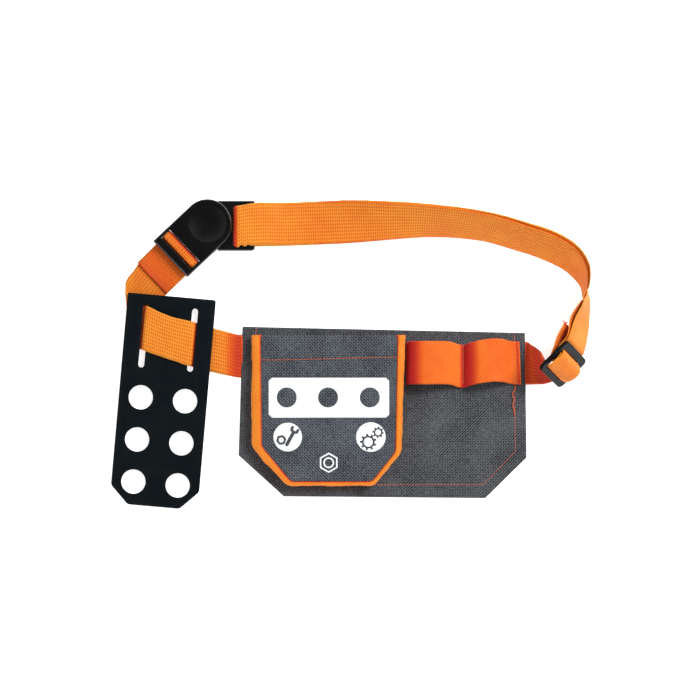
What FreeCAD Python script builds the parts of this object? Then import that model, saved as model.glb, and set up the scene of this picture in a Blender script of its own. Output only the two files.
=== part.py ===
"""Child's toy tool belt, laid on a table with the panel face up. Units are millimetres.

+X runs along the panel, +Y from the panel towards the waist loop, +Z is up. The origin is at the
middle of the panel's back face, which lies on the table.
"""

import FreeCAD
import Part
import Mesh
import os
from math import cos, radians, sin

from FreeCAD import Vector

# Webbing
WEB_WIDTH = 38.0
WEB_THICK = 1.4
LAYER_STEP = 2.0  # spacing of two strands that lie on each other, centre to centre
TABLE_GAP = 0.3  # the lower edge of a strand that stands on the table

# Panel of two canvas sheets, with the belt between them
PANEL_OUTLINE = [(-124, 76), (126, 70.5), (127.5, -40), (91, -75.8), (-87.5, -74.3), (-127.5, -38)]
BACK_THICK = 1.2
FRONT_TOP = 3.6
BELT_LEFT_Y = 49.9  # the belt's centre line at the panel's two ends
BELT_RIGHT_Y = 43.7
TUNNEL_GAP = 0.1
BELT_Z = BACK_THICK + TUNNEL_GAP + WEB_THICK / 2
BELT_END_X = 127.2  # where the belt behind the panel ends on each side

# Pocket
POCKET_FOOT = [(-115.5, 67.7), (-115.5, -29.5), (-83.7, -64.8), (-7.7, -64.8), (15.5, -38), (20.4, 67.7)]
POCKET_FACE = [(-109, 68.5), (-109, -28), (-81, -59.5), (-10.5, -59.5), (10, -36), (13.5, 68.5)]
POCKET_DEPTH = 10.4
CANVAS_THICK = 1.2
GUSSET_THICK = 1.2
SHEET_GAP = 0.1
POCKET_OPEN_Z = FRONT_TOP + POCKET_DEPTH

# Tool loops, one strip of webbing sewn down at three places
LOOP_LOW_Y = 24.4
LOOP_THICK = 1.3
LOOP_PATH = [
    (20.8, 4.4), (21.8, 4.4), (24.9, 11.5), (32, 16.5), (45, 16.3), (58, 11.5), (66, 5.6), (69.5, 4.4),
    (72.5, 4.4), (75.5, 10.5), (83, 15.6), (95, 15.2), (106, 10.4), (113, 5.2), (116, 4.4), (123, 4.4),
]
TACK_PLACES = (71.0, 119.5)
TACK_WIDTH = 2.0
TACK_GAP = 0.2

# Stitching
THREAD_WIDTH = 0.7
THREAD_HIGH = 0.4
SEAM_LEFT = [(-111.6, 75), (-111.6, 70)]
SEAM_RIGHT = [(117, 20), (117.4, -34.4), (89.1, -63.8), (-5, -63.8)]
HEM_Y = 46.5

# Tool holder, a plastic sheet that hangs on the belt by two slots
PLATE_TOP = (-185.9, 102.6)
PLATE_TILT = -5.0
PLATE_HALF = 39.0
PLATE_LONG = 186.0
PLATE_CHAMFER = 16.0
PLATE_LOW_Z = 5.0
PLATE_THICK = 1.8
PLATE_CORNER = 2.5
SLOT_U = 21.5
SLOT_HALF = 3.0
SLOT_SPAN = (9.0, 64.8)
HOLE_R = 10.7
HOLE_U = 19.6
HOLE_ROWS = (91.0, 128.3, 165.6)
PASS_SLANT = 0.245  # how far the belt climbs along the plate for each millimetre across it
PASS_TOP = 15.6
PASS_SPAN = 39.2
PASS_PATH = [
    (26, 3.9), (23.2, 4.1), (21.7, 5.2), (21.2, 6.8), (19.6, 8.1), (16, 8.4),
    (-16, 8.4), (-19.6, 8.1), (-21.2, 6.8), (-21.7, 5.2), (-23.2, 4.1), (-26, 3.9),
]

# Buckle: the cap snaps down on the stud of the base and turns on it
STUD_AT = (-153.8, 166.2)
STUD_R = 5.0
STUD_FIT = 0.1
BASE_LOW_Z = 2.2
BASE_TOP_Z = 6.0
STUD_TOP_Z = 9.2
BASE_R = 20.6
BASE_SPAN = (-23.2, 20.8)  # across the strap, from the stud
BASE_START = 8.0  # the flat part's two ends, from the stud
BASE_END = 40.8
BASE_CORNER = 4.0
BASE_SLOT = (20.8, 24.4)
BASE_SLOT_SPAN = (-20.4, 19.5)
CAP_HEADING = 223.3
CAP_R = 21.4
CAP_HALF = 21.8
CAP_END = 45.4
CAP_LOW_Z = 6.6
CAP_TOP_Z = 12.0
CAP_WINDOW = (26.3, 38.0)
CAP_WINDOW_HALF = 19.7
CAP_BAR_U = 32.2
CAP_BAR_HALF = 1.6
CAP_BAR_Z = (7.2, 9.8)
OUTER_BAR_LOW_Z = 8.0
SOCKET_TOP_Z = 9.6
DISH_R = 16.7
DISH_DEEP = 1.4
BASE_WRAP = [
    (50, 1.05), (30, 1.05), (24, 1.3), (22.6, 3.0), (22.6, 5.4), (23.8, 6.9), (26.5, 7.3),
    (41, 7.3), (50, 6.6),
]
CAP_WRAP = [
    (62, 1.4), (46, 3.2), (36.5, 5.2), (30.6, 5.9), (29.2, 7.5), (29.2, 9.6), (30.3, 10.7),
    (34.1, 10.7), (35.1, 9.6), (35.4, 7.9), (38.2, 6.9), (46, 4.9), (62, 3.1), (69, 2.9),
]
END_SEAM_U = 66.0
SEAM_WIDTH = 1.2
FOLDED_STRETCH = "belt_turn_under_holder"

# The waist loop of two strands. Each station is the foot's x and y, the heading and the lean.
RING = [
    (-86, 147.6, 1, 0), (-57, 148.5, 2, 4), (-29, 149.8, 3, 17), (-2, 152, 3, 33),
    (42, 155, -1, 50), (86, 152, -10, 58), (122, 142, -17, 60), (141, 135.5, -21, 61),
    (157, 128, -31, 66), (167.5, 120, -46, 77), (175.5, 110.5, -66, 92), (181, 100.5, -90, 103),
]
RING_SPLIT = 8
FRONT_RUN = [(184, 92, -108, 112), (182.6, 72, -121, 124)]
INNER_OFFSETS = [(-2.6, 0.5, -0.3), (-5, 1, -0.3)]  # from the outer strand to the inner one on that run

# Slider, held on edge by the strands it joins
SLIDER_AT = (156.0, 42.8, 21.6)
SLIDER_HEADING = -134.4
SLIDER_LEAN = 129.0
SLIDER_DIP = 6.2
SLIDER_HALF = 23.5
SLIDER_REACH = 17.0
SLIDER_THICK = 3.0
SLIDER_BARS = ((-17.0, -12.0), (-2.2, 2.2), (12.0, 17.0))
SLIDER_SIDE = 3.9
# Webbing at the slider: along it, out of its plane, and shifted across it
OUTER_PASS = [
    (-20, -2.7, 2.5), (-12.2, -2.7, 0), (-9.2, -1, 0), (-6.5, 3.6, 0), (-3.2, 6.3, 0), (0, 7, 0),
    (3.2, 6.3, 0), (6.3, 3.8, 0), (8, 0.3, 0), (8.3, -3.4, 0), (7.6, -7.5, 0),
]
INNER_LOOP = [
    (-20, -4.6, 2.5), (-8, -4.4, 0), (-4.3, -1.8, 0), (-3.7, 1.2, 0), (-2.2, 3.9, 0), (0, 4.7, 0),
    (2.2, 3.9, 0), (3.7, 1.2, 0), (3.4, -2.4, 0), (-0.5, -5.6, 0), (-5, -7.2, 1), (-10, -9.4, 2.5),
    (-16, -11.6, 4), (-22, -13.2, 4.5), (-26.5, -14.4, 4.5),
]
PANEL_RUN = [
    ((135.5, 24.8, 2.0), (130.6, 60.0, 9.0)), ((143, 25.2, 2.0), (133.4, 57.4, 16.5)),
    ((151, 27.8, 1.8), (136.6, 53.0, 25.0)),
]
TAB_SEAM = 3  # counted back from the end of the inner strand's loop


def save(name, shape):
    """Write one sub-part to its file."""
    shape.exportStep("parts/" + name + ".step")
    print(name, round(shape.Volume), shape.isValid(), len(shape.Solids))


def prism(outline, low, high):
    """A flat sheet with the given outline."""
    corners = [Vector(x, y, low) for x, y in outline]
    face = Part.Face(Part.makePolygon(corners + corners[:1]))
    return face.extrude(Vector(0, 0, high - low))


def box(x, y, z):
    """A box from three pairs of limits."""
    size = [limits[1] - limits[0] for limits in (x, y, z)]
    return Part.makeBox(size[0], size[1], size[2], Vector(x[0], y[0], z[0]))


def faceted(sections):
    """A closed solid of flat facets through sections of four corners."""
    facets = []
    for near, far in zip(sections, sections[1:]):
        for k in range(4):
            following = (k + 1) % 4
            facets.append([near[k], near[following], far[following]])
            facets.append([near[k], far[following], far[k]])
    first, last = sections[0], sections[-1]
    facets += [[first[0], first[2], first[1]], [first[0], first[3], first[2]]]
    facets += [[last[0], last[1], last[2]], [last[0], last[2], last[3]]]
    mesh = Mesh.Mesh([[tuple(corner) for corner in facet] for facet in facets])
    shell = Part.Shape()
    shell.makeShapeFromMesh(mesh.Topology, 0.01)
    return Part.Solid(shell)


def cross_sections(edges, thickness):
    """Four corners of webbing at each pair of edge points."""
    sections = []
    last = len(edges) - 1
    for i, (a, b) in enumerate(edges):
        before = edges[max(i - 1, 0)]
        after = edges[min(i + 1, last)]
        along = (after[0] + after[1]) - (before[0] + before[1])
        normal = along.cross(b - a).normalize() * (thickness / 2)
        sections.append([a - normal, b - normal, b + normal, a + normal])
    return sections


def lofted(sections):
    """A closed solid of ruled faces through sections of four corners."""
    return Part.makeLoft([Part.makePolygon(c + c[:1]) for c in sections], True, True)


def save_stretches(edges, stretches):
    """Save stretches of one run of webbing, which meet face to face at the sections they share.

    A ruled loft would twist where the webbing folds over, so that stretch has flat facets.
    """
    sections = cross_sections(edges, WEB_THICK)
    for name, first, last in stretches:
        build = faceted if name == FOLDED_STRETCH else lofted
        save(name, build(sections[first:last + 1]))


def framed(origin, heading, lean=0.0, dip=0.0):
    """Return a function that takes (along, across, out) of a tilted frame to the row's frame."""
    h, t, d = radians(heading), radians(lean), radians(dip)
    along = Vector(cos(h) * cos(d), sin(h) * cos(d), -sin(d))
    across = Vector(-sin(h), cos(h), 0) * cos(t) + Vector(cos(h) * sin(d), sin(h) * sin(d), cos(d)) * sin(t)
    out = across.cross(along)
    return lambda s, w, n: origin + along * s + across * w + out * n


def ring_edges(stations, layer):
    """Edge points of a strand in the waist loop. Layer 0 is the inner strand, 1 the outer one."""
    edges = []
    for x, y, heading, lean in stations:
        slope = cos(radians(lean))
        below = WEB_THICK / 2 + (LAYER_STEP if slope > 0 else 0)
        foot = Vector(x, y, TABLE_GAP + below * abs(slope))
        place = framed(foot, heading, lean)
        edges.append((place(0, 0, layer * LAYER_STEP), place(0, WEB_WIDTH, layer * LAYER_STEP)))
    return edges


def path_edges(place, path, half=WEB_WIDTH / 2):
    """Edge points of webbing that follows a path in a local frame."""
    return [(place(s, shift - half, n), place(s, shift + half, n)) for s, n, shift in path]


def panel():
    """The two canvas sheets. The front one is padded out over the belt."""
    slope = (BELT_RIGHT_Y - BELT_LEFT_Y) / 252.0
    half = WEB_WIDTH / 2 + TUNNEL_GAP
    ends = [(x, BELT_LEFT_Y + slope * (x + 126)) for x in (-140, 140)]
    tunnel = [(ends[0][0], ends[0][1] - half), (ends[1][0], ends[1][1] - half),
              (ends[1][0], ends[1][1] + half), (ends[0][0], ends[0][1] + half)]
    save("panel_back", prism(PANEL_OUTLINE, 0, BACK_THICK))
    front = prism(PANEL_OUTLINE, BACK_THICK, FRONT_TOP)
    save("panel_front", front.cut(prism(tunnel, BACK_THICK, BACK_THICK + WEB_THICK + 2 * TUNNEL_GAP)))
    middle = WEB_WIDTH / 2
    belt = [(-BELT_END_X, BELT_LEFT_Y - middle), (BELT_END_X, BELT_RIGHT_Y - middle),
            (BELT_END_X, BELT_RIGHT_Y + middle), (-BELT_END_X, BELT_LEFT_Y + middle)]
    save("belt_behind_panel", prism(belt, BELT_Z - WEB_THICK / 2, BELT_Z + WEB_THICK / 2))


def inset(outline, by, top_by=0.0):
    """Move a pocket outline inwards at its sides and its bottom, not at its open top."""
    middle = (outline[0][0] + outline[-1][0]) / 2
    half = abs(outline[-1][0] - middle)
    low = outline[2][1]
    high = outline[0][1]
    shrink = (half - by) / half
    return [(middle + (x - middle) * shrink, high - (high - y) * (high - low - by) / (high - low) + top_by)
            for x, y in outline]


def pocket():
    """Canvas front on a webbing gusset round three sides. The top is open."""
    low, high = FRONT_TOP + SHEET_GAP, POCKET_OPEN_Z

    def tapered(foot, face):
        rings = []
        for outline, z in ((foot, low), (face, high)):
            corners = [Vector(x, y, z) for x, y in outline]
            rings.append(Part.makePolygon(corners + corners[:1]))
        return Part.makeLoft(rings, True, True)

    inner = tapered(inset(POCKET_FOOT, GUSSET_THICK, 5), inset(POCKET_FACE, GUSSET_THICK, 5))
    save("pocket_gusset", tapered(POCKET_FOOT, POCKET_FACE).cut(inner))
    save("pocket_front", prism(POCKET_FACE, high + SHEET_GAP, high + SHEET_GAP + CANVAS_THICK))


def tool_loops():
    """The strip that makes the two loops, and the bar tacks that hold it."""
    edges = [(Vector(x, LOOP_LOW_Y, z), Vector(x, LOOP_LOW_Y + WEB_WIDTH, z)) for x, z in LOOP_PATH]
    save("tool_loop_strip", lofted(cross_sections(edges, LOOP_THICK)))
    low = LOOP_PATH[0][1] + LOOP_THICK / 2 + TACK_GAP
    span = (LOOP_LOW_Y + 1, LOOP_LOW_Y + WEB_WIDTH - 1)
    tacks = [box((x - TACK_WIDTH / 2, x + TACK_WIDTH / 2), span, (low, low + THREAD_HIGH))
             for x in TACK_PLACES]
    save("tool_loop_bar_tacks", Part.makeCompound(tacks))


def thread(path, z):
    """A line of stitching on a flat sheet."""
    runs = []
    for (x0, y0), (x1, y1) in zip(path, path[1:]):
        run = Vector(x1 - x0, y1 - y0, 0)
        side = Vector(0, 0, 1).cross(run).normalize() * (THREAD_WIDTH / 2)
        start, end = Vector(x0, y0, z), Vector(x1, y1, z)
        corners = [start - side, end - side, end + side, start + side]
        bar = Part.Face(Part.makePolygon(corners + corners[:1])).extrude(Vector(0, 0, THREAD_HIGH))
        runs.append(bar)
        runs.append(Part.makeCylinder(THREAD_WIDTH / 2, THREAD_HIGH, end))
    return runs[0].multiFuse(runs[1:]).removeSplitter()


def stitching():
    """The seam round the panel and the seam of the pocket's hem."""
    panel_seams = [thread(path, FRONT_TOP + SHEET_GAP) for path in (SEAM_LEFT, SEAM_RIGHT)]
    save("panel_outline_seam", Part.makeCompound(panel_seams))
    top = POCKET_OPEN_Z + SHEET_GAP + CANVAS_THICK
    hem = [(POCKET_FACE[0][0] + 1.5, HEM_Y), (POCKET_FACE[-1][0] - 2.5, HEM_Y)]
    save("pocket_hem_seam", thread(hem, top + SHEET_GAP))


def holder():
    """The tool holder sheet and the belt's pass through its two slots."""
    at = framed(Vector(PLATE_TOP[0], PLATE_TOP[1], 0), PLATE_TILT)

    def flat(u, v):
        point = at(u, -v, 0)
        return point.x, point.y

    cut = PLATE_HALF - PLATE_CHAMFER
    outline = [(-PLATE_HALF, 0), (PLATE_HALF, 0), (PLATE_HALF, PLATE_LONG - PLATE_CHAMFER),
               (cut, PLATE_LONG), (-cut, PLATE_LONG), (-PLATE_HALF, PLATE_LONG - PLATE_CHAMFER)]
    low, high = PLATE_LOW_Z, PLATE_LOW_Z + PLATE_THICK
    plate = prism([flat(u, v) for u, v in outline], low, high)
    upright = [e for e in plate.Edges if abs(e.tangentAt(e.FirstParameter).z) > 0.9]
    plate = plate.makeFillet(PLATE_CORNER, upright)
    for u in (-SLOT_U, SLOT_U):
        ends = [SLOT_SPAN[0] + SLOT_HALF, SLOT_SPAN[1] - SLOT_HALF]
        sides = [(u - SLOT_HALF, ends[0]), (u + SLOT_HALF, ends[0]),
                 (u + SLOT_HALF, ends[1]), (u - SLOT_HALF, ends[1])]
        plate = plate.cut(prism([flat(*p) for p in sides], low, high))
        for v in ends:
            plate = plate.cut(Part.makeCylinder(SLOT_HALF, PLATE_THICK, Vector(*flat(u, v), low)))
    for v in HOLE_ROWS:
        for u in (-HOLE_U, HOLE_U):
            plate = plate.cut(Part.makeCylinder(HOLE_R, PLATE_THICK, Vector(*flat(u, v), low)))
    save("tool_holder_plate", plate)

    edges = []
    for u, z in PASS_PATH:
        v = PASS_TOP + PASS_SLANT * u
        edges.append((Vector(*flat(u, v + PASS_SPAN), z), Vector(*flat(u, v), z)))
    return edges


def belt_left(pass_edges, cap_edges):
    """The belt from the panel through the holder, under it, and up to the end sewn on the buckle's cap."""
    half = WEB_WIDTH / 2
    start = [
        (Vector(x, BELT_LEFT_Y - half, BELT_Z), Vector(x, BELT_LEFT_Y + half, BELT_Z))
        for x in (-BELT_END_X, -BELT_END_X - 0.6)
    ]
    start.append((Vector(-146, 34.8, 2.6), Vector(-145, 73.2, 2.6)))
    turn = [
        (Vector(-221.5, 61, 3.7), Vector(-224, 103, 3.7)),
        (Vector(-224.5, 67.5, 2.4), Vector(-229, 109, 2.4)),
        (Vector(-220, 75.5, 1.1), Vector(-227, 116, 1.1)),
        (Vector(-210, 87, 1.1), Vector(-221.5, 125, 1.1)),
    ]
    edges = start + pass_edges + turn + cap_edges
    enter = len(start)
    leave = enter + len(pass_edges) - 1
    strand = leave + len(turn)
    save_stretches(edges, [
        ("belt_panel_to_holder", 0, enter),
        ("belt_through_holder", enter, leave),
        (FOLDED_STRETCH, leave, strand),
        ("belt_strand_to_buckle", strand, strand + 1),
        ("belt_end_on_cap", strand + 1, len(edges) - 1),
    ])


def buckle_cap():
    """The buckle's cap half, with a dished top, a socket below and a bar for the belt."""
    stud = Vector(STUD_AT[0], STUD_AT[1], 0)
    at = framed(stud, CAP_HEADING)

    def block(u, half, z):
        corners = [at(u[0], -half, 0), at(u[1], -half, 0), at(u[1], half, 0), at(u[0], half, 0)]
        return prism([(p.x, p.y) for p in corners], z[0], z[1])

    height = CAP_TOP_Z - CAP_LOW_Z
    cap = Part.makeCylinder(CAP_R, height, stud + Vector(0, 0, CAP_LOW_Z))
    cap = cap.fuse(block((0, CAP_END), CAP_HALF, (CAP_LOW_Z, CAP_TOP_Z)))
    cap = cap.cut(block(CAP_WINDOW, CAP_WINDOW_HALF, (CAP_LOW_Z, CAP_TOP_Z)))
    cap = cap.cut(block((CAP_WINDOW[1], CAP_END), CAP_WINDOW_HALF, (CAP_LOW_Z, OUTER_BAR_LOW_Z)))
    bar = (CAP_BAR_U - CAP_BAR_HALF, CAP_BAR_U + CAP_BAR_HALF)
    cap = cap.fuse(block(bar, CAP_HALF - 1, CAP_BAR_Z))
    socket = Part.makeCylinder(STUD_R + STUD_FIT, SOCKET_TOP_Z - CAP_LOW_Z, stud + Vector(0, 0, CAP_LOW_Z))
    ball = (DISH_R ** 2 + DISH_DEEP ** 2) / (2 * DISH_DEEP)
    dish = Part.makeSphere(ball, stud + Vector(0, 0, CAP_TOP_Z - DISH_DEEP + ball))
    cap = cap.cut(socket).cut(dish)
    save("buckle_cap", cap.removeSplitter())

    half = WEB_WIDTH / 2
    seam_z = CAP_WRAP[-1][1] + WEB_THICK / 2 + SHEET_GAP
    seam_u = (END_SEAM_U - SEAM_WIDTH / 2, END_SEAM_U + SEAM_WIDTH / 2)
    save("belt_end_seam", block(seam_u, half - 1, (seam_z, seam_z + THREAD_HIGH)))
    return [(at(u, half, 0) + Vector(0, 0, z), at(u, -half, 0) + Vector(0, 0, z)) for u, z in CAP_WRAP]


def buckle_base():
    """The buckle's base half with its stud. Returns the edges of the long strand's turn round its bar."""
    stud = Vector(STUD_AT[0], STUD_AT[1], 0)
    x, y = STUD_AT
    base = Part.makeCylinder(BASE_R, BASE_TOP_Z - BASE_LOW_Z, stud + Vector(0, 0, BASE_LOW_Z))
    span = (y + BASE_SPAN[0], y + BASE_SPAN[1])
    base = base.fuse(box((x + BASE_START, x + BASE_END), span, (BASE_LOW_Z, BASE_TOP_Z)))
    upright = [e for e in base.Edges
               if abs(e.tangentAt(e.FirstParameter).z) > 0.9 and e.BoundBox.XMin > x + BASE_END - 1]
    base = base.makeFillet(BASE_CORNER, upright)
    slot = (x + BASE_SLOT[0], x + BASE_SLOT[1])
    span = (y + BASE_SLOT_SPAN[0], y + BASE_SLOT_SPAN[1])
    base = base.cut(box(slot, span, (BASE_LOW_Z, BASE_TOP_Z)))
    base = base.fuse(Part.makeCylinder(STUD_R, STUD_TOP_Z - BASE_TOP_Z, stud + Vector(0, 0, BASE_TOP_Z)))
    save("buckle_base", base.removeSplitter())

    half = WEB_WIDTH / 2
    return [(Vector(x + u, y - half, z), Vector(x + u, y + half, z)) for u, z in BASE_WRAP]


def slider():
    """The three-bar slider. Returns the edges of the webbing over its middle bar, and of the loop's end."""
    at = framed(Vector(*SLIDER_AT), SLIDER_HEADING, SLIDER_LEAN, SLIDER_DIP)

    def block(s, w):
        corners = [at(s[0], w[0], -SLIDER_THICK / 2), at(s[1], w[0], -SLIDER_THICK / 2),
                   at(s[1], w[1], -SLIDER_THICK / 2), at(s[0], w[1], -SLIDER_THICK / 2)]
        face = Part.Face(Part.makePolygon(corners + corners[:1]))
        return face.extrude(at(0, 0, SLIDER_THICK) - at(0, 0, 0))

    frame = block((-SLIDER_REACH, SLIDER_REACH), (-SLIDER_HALF, SLIDER_HALF))
    for left, right in zip(SLIDER_BARS, SLIDER_BARS[1:]):
        frame = frame.cut(block((left[1], right[0]), (SLIDER_SIDE - SLIDER_HALF, SLIDER_HALF - SLIDER_SIDE)))
    save("slider", frame)
    looped = path_edges(at, INNER_LOOP)
    (a, b), (c, d) = looped[-TAB_SEAM], looped[1 - TAB_SEAM]
    below = (c - a).cross(b - a).normalize() * (WEB_THICK / 2 + SHEET_GAP + THREAD_HIGH / 2)
    along = (c - a).normalize() * SEAM_WIDTH
    across = (b - a).normalize()
    near = (a + across + below, b - across + below)
    seam = [near, (near[0] + along, near[1] + along)]
    save("inner_strand_end_seam", lofted(cross_sections(seam, THREAD_HIGH)))
    return path_edges(at, OUTER_PASS), looped


def belt_right(passing, looped, wrap):
    """The belt from the panel over the slider's bar, round the back, round the buckle's bar and back.

    The outer strand runs from the slider to the buckle and the inner one from there to its sewn end.
    """
    half = WEB_WIDTH / 2
    start = [
        (Vector(x, BELT_RIGHT_Y - half, BELT_Z), Vector(x, BELT_RIGHT_Y + half, BELT_Z))
        for x in (BELT_END_X, BELT_END_X + 0.6)
    ]
    start += [(Vector(*low), Vector(*high)) for low, high in PANEL_RUN]
    front = ring_edges(FRONT_RUN, 0)
    inside = [(a + Vector(*by), b + Vector(*by)) for (a, b), by in zip(front, INNER_OFFSETS)]
    outer, inner = ring_edges(RING, 1), ring_edges(RING, 0)
    edges = start + passing[::-1] + front[::-1] + outer[::-1] + wrap + inner + inside + looped
    pass_first = len(start)
    pass_last = pass_first + len(passing) - 1
    corner = pass_last + len(front) + 1
    outer_near = corner + len(outer) - 2
    wrap_first = outer_near + 2
    wrap_last = wrap_first + len(wrap) - 1
    inner_near = wrap_last + 2
    inner_end = wrap_last + len(inner)
    loop = inner_end + len(inside) + 1
    bend = len(RING) - RING_SPLIT
    save_stretches(edges, [
        ("belt_panel_to_slider", 0, pass_first),
        ("belt_over_slider_bar", pass_first, pass_last),
        ("outer_strand_to_slider", pass_last, corner),
        ("outer_strand_corner", corner, corner + bend),
        ("outer_strand_back", corner + bend, outer_near),
        ("outer_strand_near_buckle", outer_near, wrap_first),
        ("strap_turn_at_base", wrap_first, wrap_last),
        ("inner_strand_near_buckle", wrap_last, inner_near),
        ("inner_strand_back", inner_near, inner_end - bend),
        ("inner_strand_corner", inner_end - bend, inner_end),
        ("inner_strand_to_slider", inner_end, loop),
        ("inner_strand_end_loop", loop, len(edges) - 1),
    ])


def main():
    os.makedirs("parts", exist_ok=True)
    panel()
    pocket()
    tool_loops()
    stitching()
    belt_left(holder(), buckle_cap())
    passing, looped = slider()
    belt_right(passing, looped, buckle_base())


main()
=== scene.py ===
"""Looks of the toy tool belt: webbing, canvas, plastic, stitching, light and camera.

Lengths in this script are millimetres until a mesh is made, which is in metres.
"""

from math import cos, exp, hypot, pi, radians, sin

import bmesh
import bpy
import numpy as np
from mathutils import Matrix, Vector, noise


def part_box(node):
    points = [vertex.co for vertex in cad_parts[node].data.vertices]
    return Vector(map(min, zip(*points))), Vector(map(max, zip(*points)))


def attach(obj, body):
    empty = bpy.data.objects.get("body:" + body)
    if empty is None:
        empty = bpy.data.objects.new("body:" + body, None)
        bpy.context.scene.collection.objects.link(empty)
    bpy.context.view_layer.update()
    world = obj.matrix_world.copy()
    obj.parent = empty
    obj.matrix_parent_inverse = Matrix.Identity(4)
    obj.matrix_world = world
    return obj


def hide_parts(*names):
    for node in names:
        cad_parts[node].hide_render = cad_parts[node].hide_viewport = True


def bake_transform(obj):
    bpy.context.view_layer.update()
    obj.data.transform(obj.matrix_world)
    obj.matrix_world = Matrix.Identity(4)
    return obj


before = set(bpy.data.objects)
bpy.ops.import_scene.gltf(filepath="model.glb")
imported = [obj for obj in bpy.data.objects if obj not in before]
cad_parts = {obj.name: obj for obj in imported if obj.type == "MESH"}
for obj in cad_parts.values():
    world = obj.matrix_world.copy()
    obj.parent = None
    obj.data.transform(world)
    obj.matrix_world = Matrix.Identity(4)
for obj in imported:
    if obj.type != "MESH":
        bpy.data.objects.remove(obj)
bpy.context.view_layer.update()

MM = 0.001

# Webbing
WEB_WIDTH = 38.0
WEB_THICK = 1.4
LAYER_STEP = 2.0  # from one strand's middle to the next
TABLE_GAP = 0.3  # how far the strands stay above the table
WEB_STEP = 0.4  # spacing of the webbing's cross sections, five to a rib
RIB_PITCH = 2.0
RIB_HIGH = 0.10
ROW_PITCH = 3.1  # from one row of warp to the next

# Panel
PANEL_OUTLINE = [(-124, 76), (126, 70.5), (127.5, -40), (91, -75.8), (-87.5, -74.3), (-127.5, -38)]
SHEET_THICK = 0.9
TWILL_PITCH = 2.25
CUT_EDGE = 0.35  # how far a sheet's cut edge is rounded, as a share of its thickness
BELT_LEFT_Y = 49.9
BELT_RIGHT_Y = 43.7
BELT_Z = 2.0
BELT_END_X = 127.2

# Pocket
POCKET_FOOT = [(-115.5, 68.5), (-115.5, -30.0), (-84.7, -64.4), (-7.9, -64.4), (16.4, -35), (20.2, 68.5)]
POCKET_FACE = [(-108.0, 68.5), (-107, -29.5), (-81, -60.6), (-9.6, -60.6), (11.4, -34), (13.5, 68.5)]
FACE_EDGE_Z = 12.2
FACE_CROWN = 2.7
HEM_Y = 46.3
PRINT_STEP = 0.0026  # spacing, in metres, of the cuts that let the print follow the pocket

# Buckle, holder sheet and slider, as in the frame
STUD_AT = (-153.8, 166.2)
CAP_HEADING = 223.3
PLATE_TOP = (-185.9, 102.6)
PLATE_TILT = -5.0
SLIDER_AT = (156.0, 42.8, 21.6)
SLIDER_HEADING = -134.4
SLIDER_LEAN = 129.0
SLIDER_DIP = 6.2

# Orange webbing colours, from full light to the depth of a crease: the crimson end is painted shade, the
# red-orange partly painted shade and partly uneven dye
BRIGHT = (0.79, 0.292, 0.026, 1)
RED_ORANGE = (0.64, 0.072, 0.007, 1)
CRIMSON_SHADE = (0.46, 0.011, 0.012, 1)
GAP_BROWN = (0.50, 0.102, 0.009, 1)


# ---------------------------------------------------------------- materials


class Graph:
    """A material's node tree, built by calls that return sockets."""

    def __init__(self, name):
        self.material = bpy.data.materials.new(name)
        self.material.use_nodes = True
        self.tree = self.material.node_tree
        self.shader = self.tree.nodes["Principled BSDF"]

    def feed(self, socket, value):
        if isinstance(value, bpy.types.NodeSocket):
            self.tree.links.new(value, socket)
        else:
            socket.default_value = value

    def node(self, kind, *inputs, **settings):
        made = self.tree.nodes.new(kind)
        for key, value in settings.items():
            setattr(made, key, value)
        for socket, value in zip(made.inputs, inputs):
            self.feed(socket, value)
        return made

    def math(self, operation, a, b=0.0):
        return self.node("ShaderNodeMath", a, b, operation=operation).outputs[0]

    def wave(self, length, pitch):
        """From 0 to 1 and back once in every pitch."""
        turn = self.math("COSINE", self.math("MULTIPLY", length, 2 * pi / pitch))
        return self.math("MULTIPLY", self.math("ADD", turn, 1.0), 0.5)

    def mix(self, factor, a, b):
        made = self.node("ShaderNodeMix", data_type="RGBA")
        for index, value in ((0, factor), (6, a), (7, b)):
            self.feed(made.inputs[index], value)
        return made.outputs[2]

    def ramp(self, value, low, high):
        """0 below low, 1 above high, smooth between."""
        made = self.node("ShaderNodeMapRange", value, low, high, 0.0, 1.0, interpolation_type="SMOOTHSTEP")
        return made.outputs[0]

    def combine(self, x, y, z=0.0):
        return self.node("ShaderNodeCombineXYZ", x, y, z).outputs[0]

    def noise(self, vector, scale, detail=2.0):
        made = self.node("ShaderNodeTexNoise")
        self.feed(made.inputs["Vector"], vector)
        made.inputs["Scale"].default_value = scale
        made.inputs["Detail"].default_value = detail
        return made.outputs[0]

    def total(self, *terms):
        """The sum of numbers, sockets, and pairs of a socket and its weight."""
        result = 0.0
        for term in terms:
            if isinstance(term, tuple):
                term = self.math("MULTIPLY", *term)
            result = self.math("ADD", result, term)
        return result

    def less(self, value):
        return self.math("SUBTRACT", 1.0, value)

    def weave(self):
        """Across and along the cloth, in millimetres, and the painted shade on it: painted shade above zero,
        a painted highlight below zero.
        """
        source = self.node("ShaderNodeAttribute", attribute_name="weave")
        apart = self.node("ShaderNodeSeparateXYZ", source.outputs["Vector"])
        return apart.outputs[0], apart.outputs[1], apart.outputs[2]

    def place(self):
        return self.node("ShaderNodeTexCoord").outputs["Object"]

    def bump(self, height, strength, distance):
        made = self.node("ShaderNodeBump")
        made.inputs["Strength"].default_value = strength
        made.inputs["Distance"].default_value = distance
        self.feed(made.inputs["Height"], height)
        self.feed(self.shader.inputs["Normal"], made.outputs[0])

    def surface(self, color, roughness, **fixed):
        self.feed(self.shader.inputs["Base Color"], color)
        self.feed(self.shader.inputs["Roughness"], roughness)
        for key, value in fixed.items():
            self.shader.inputs[key.replace("_", " ")].default_value = value
        return self.material


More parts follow.
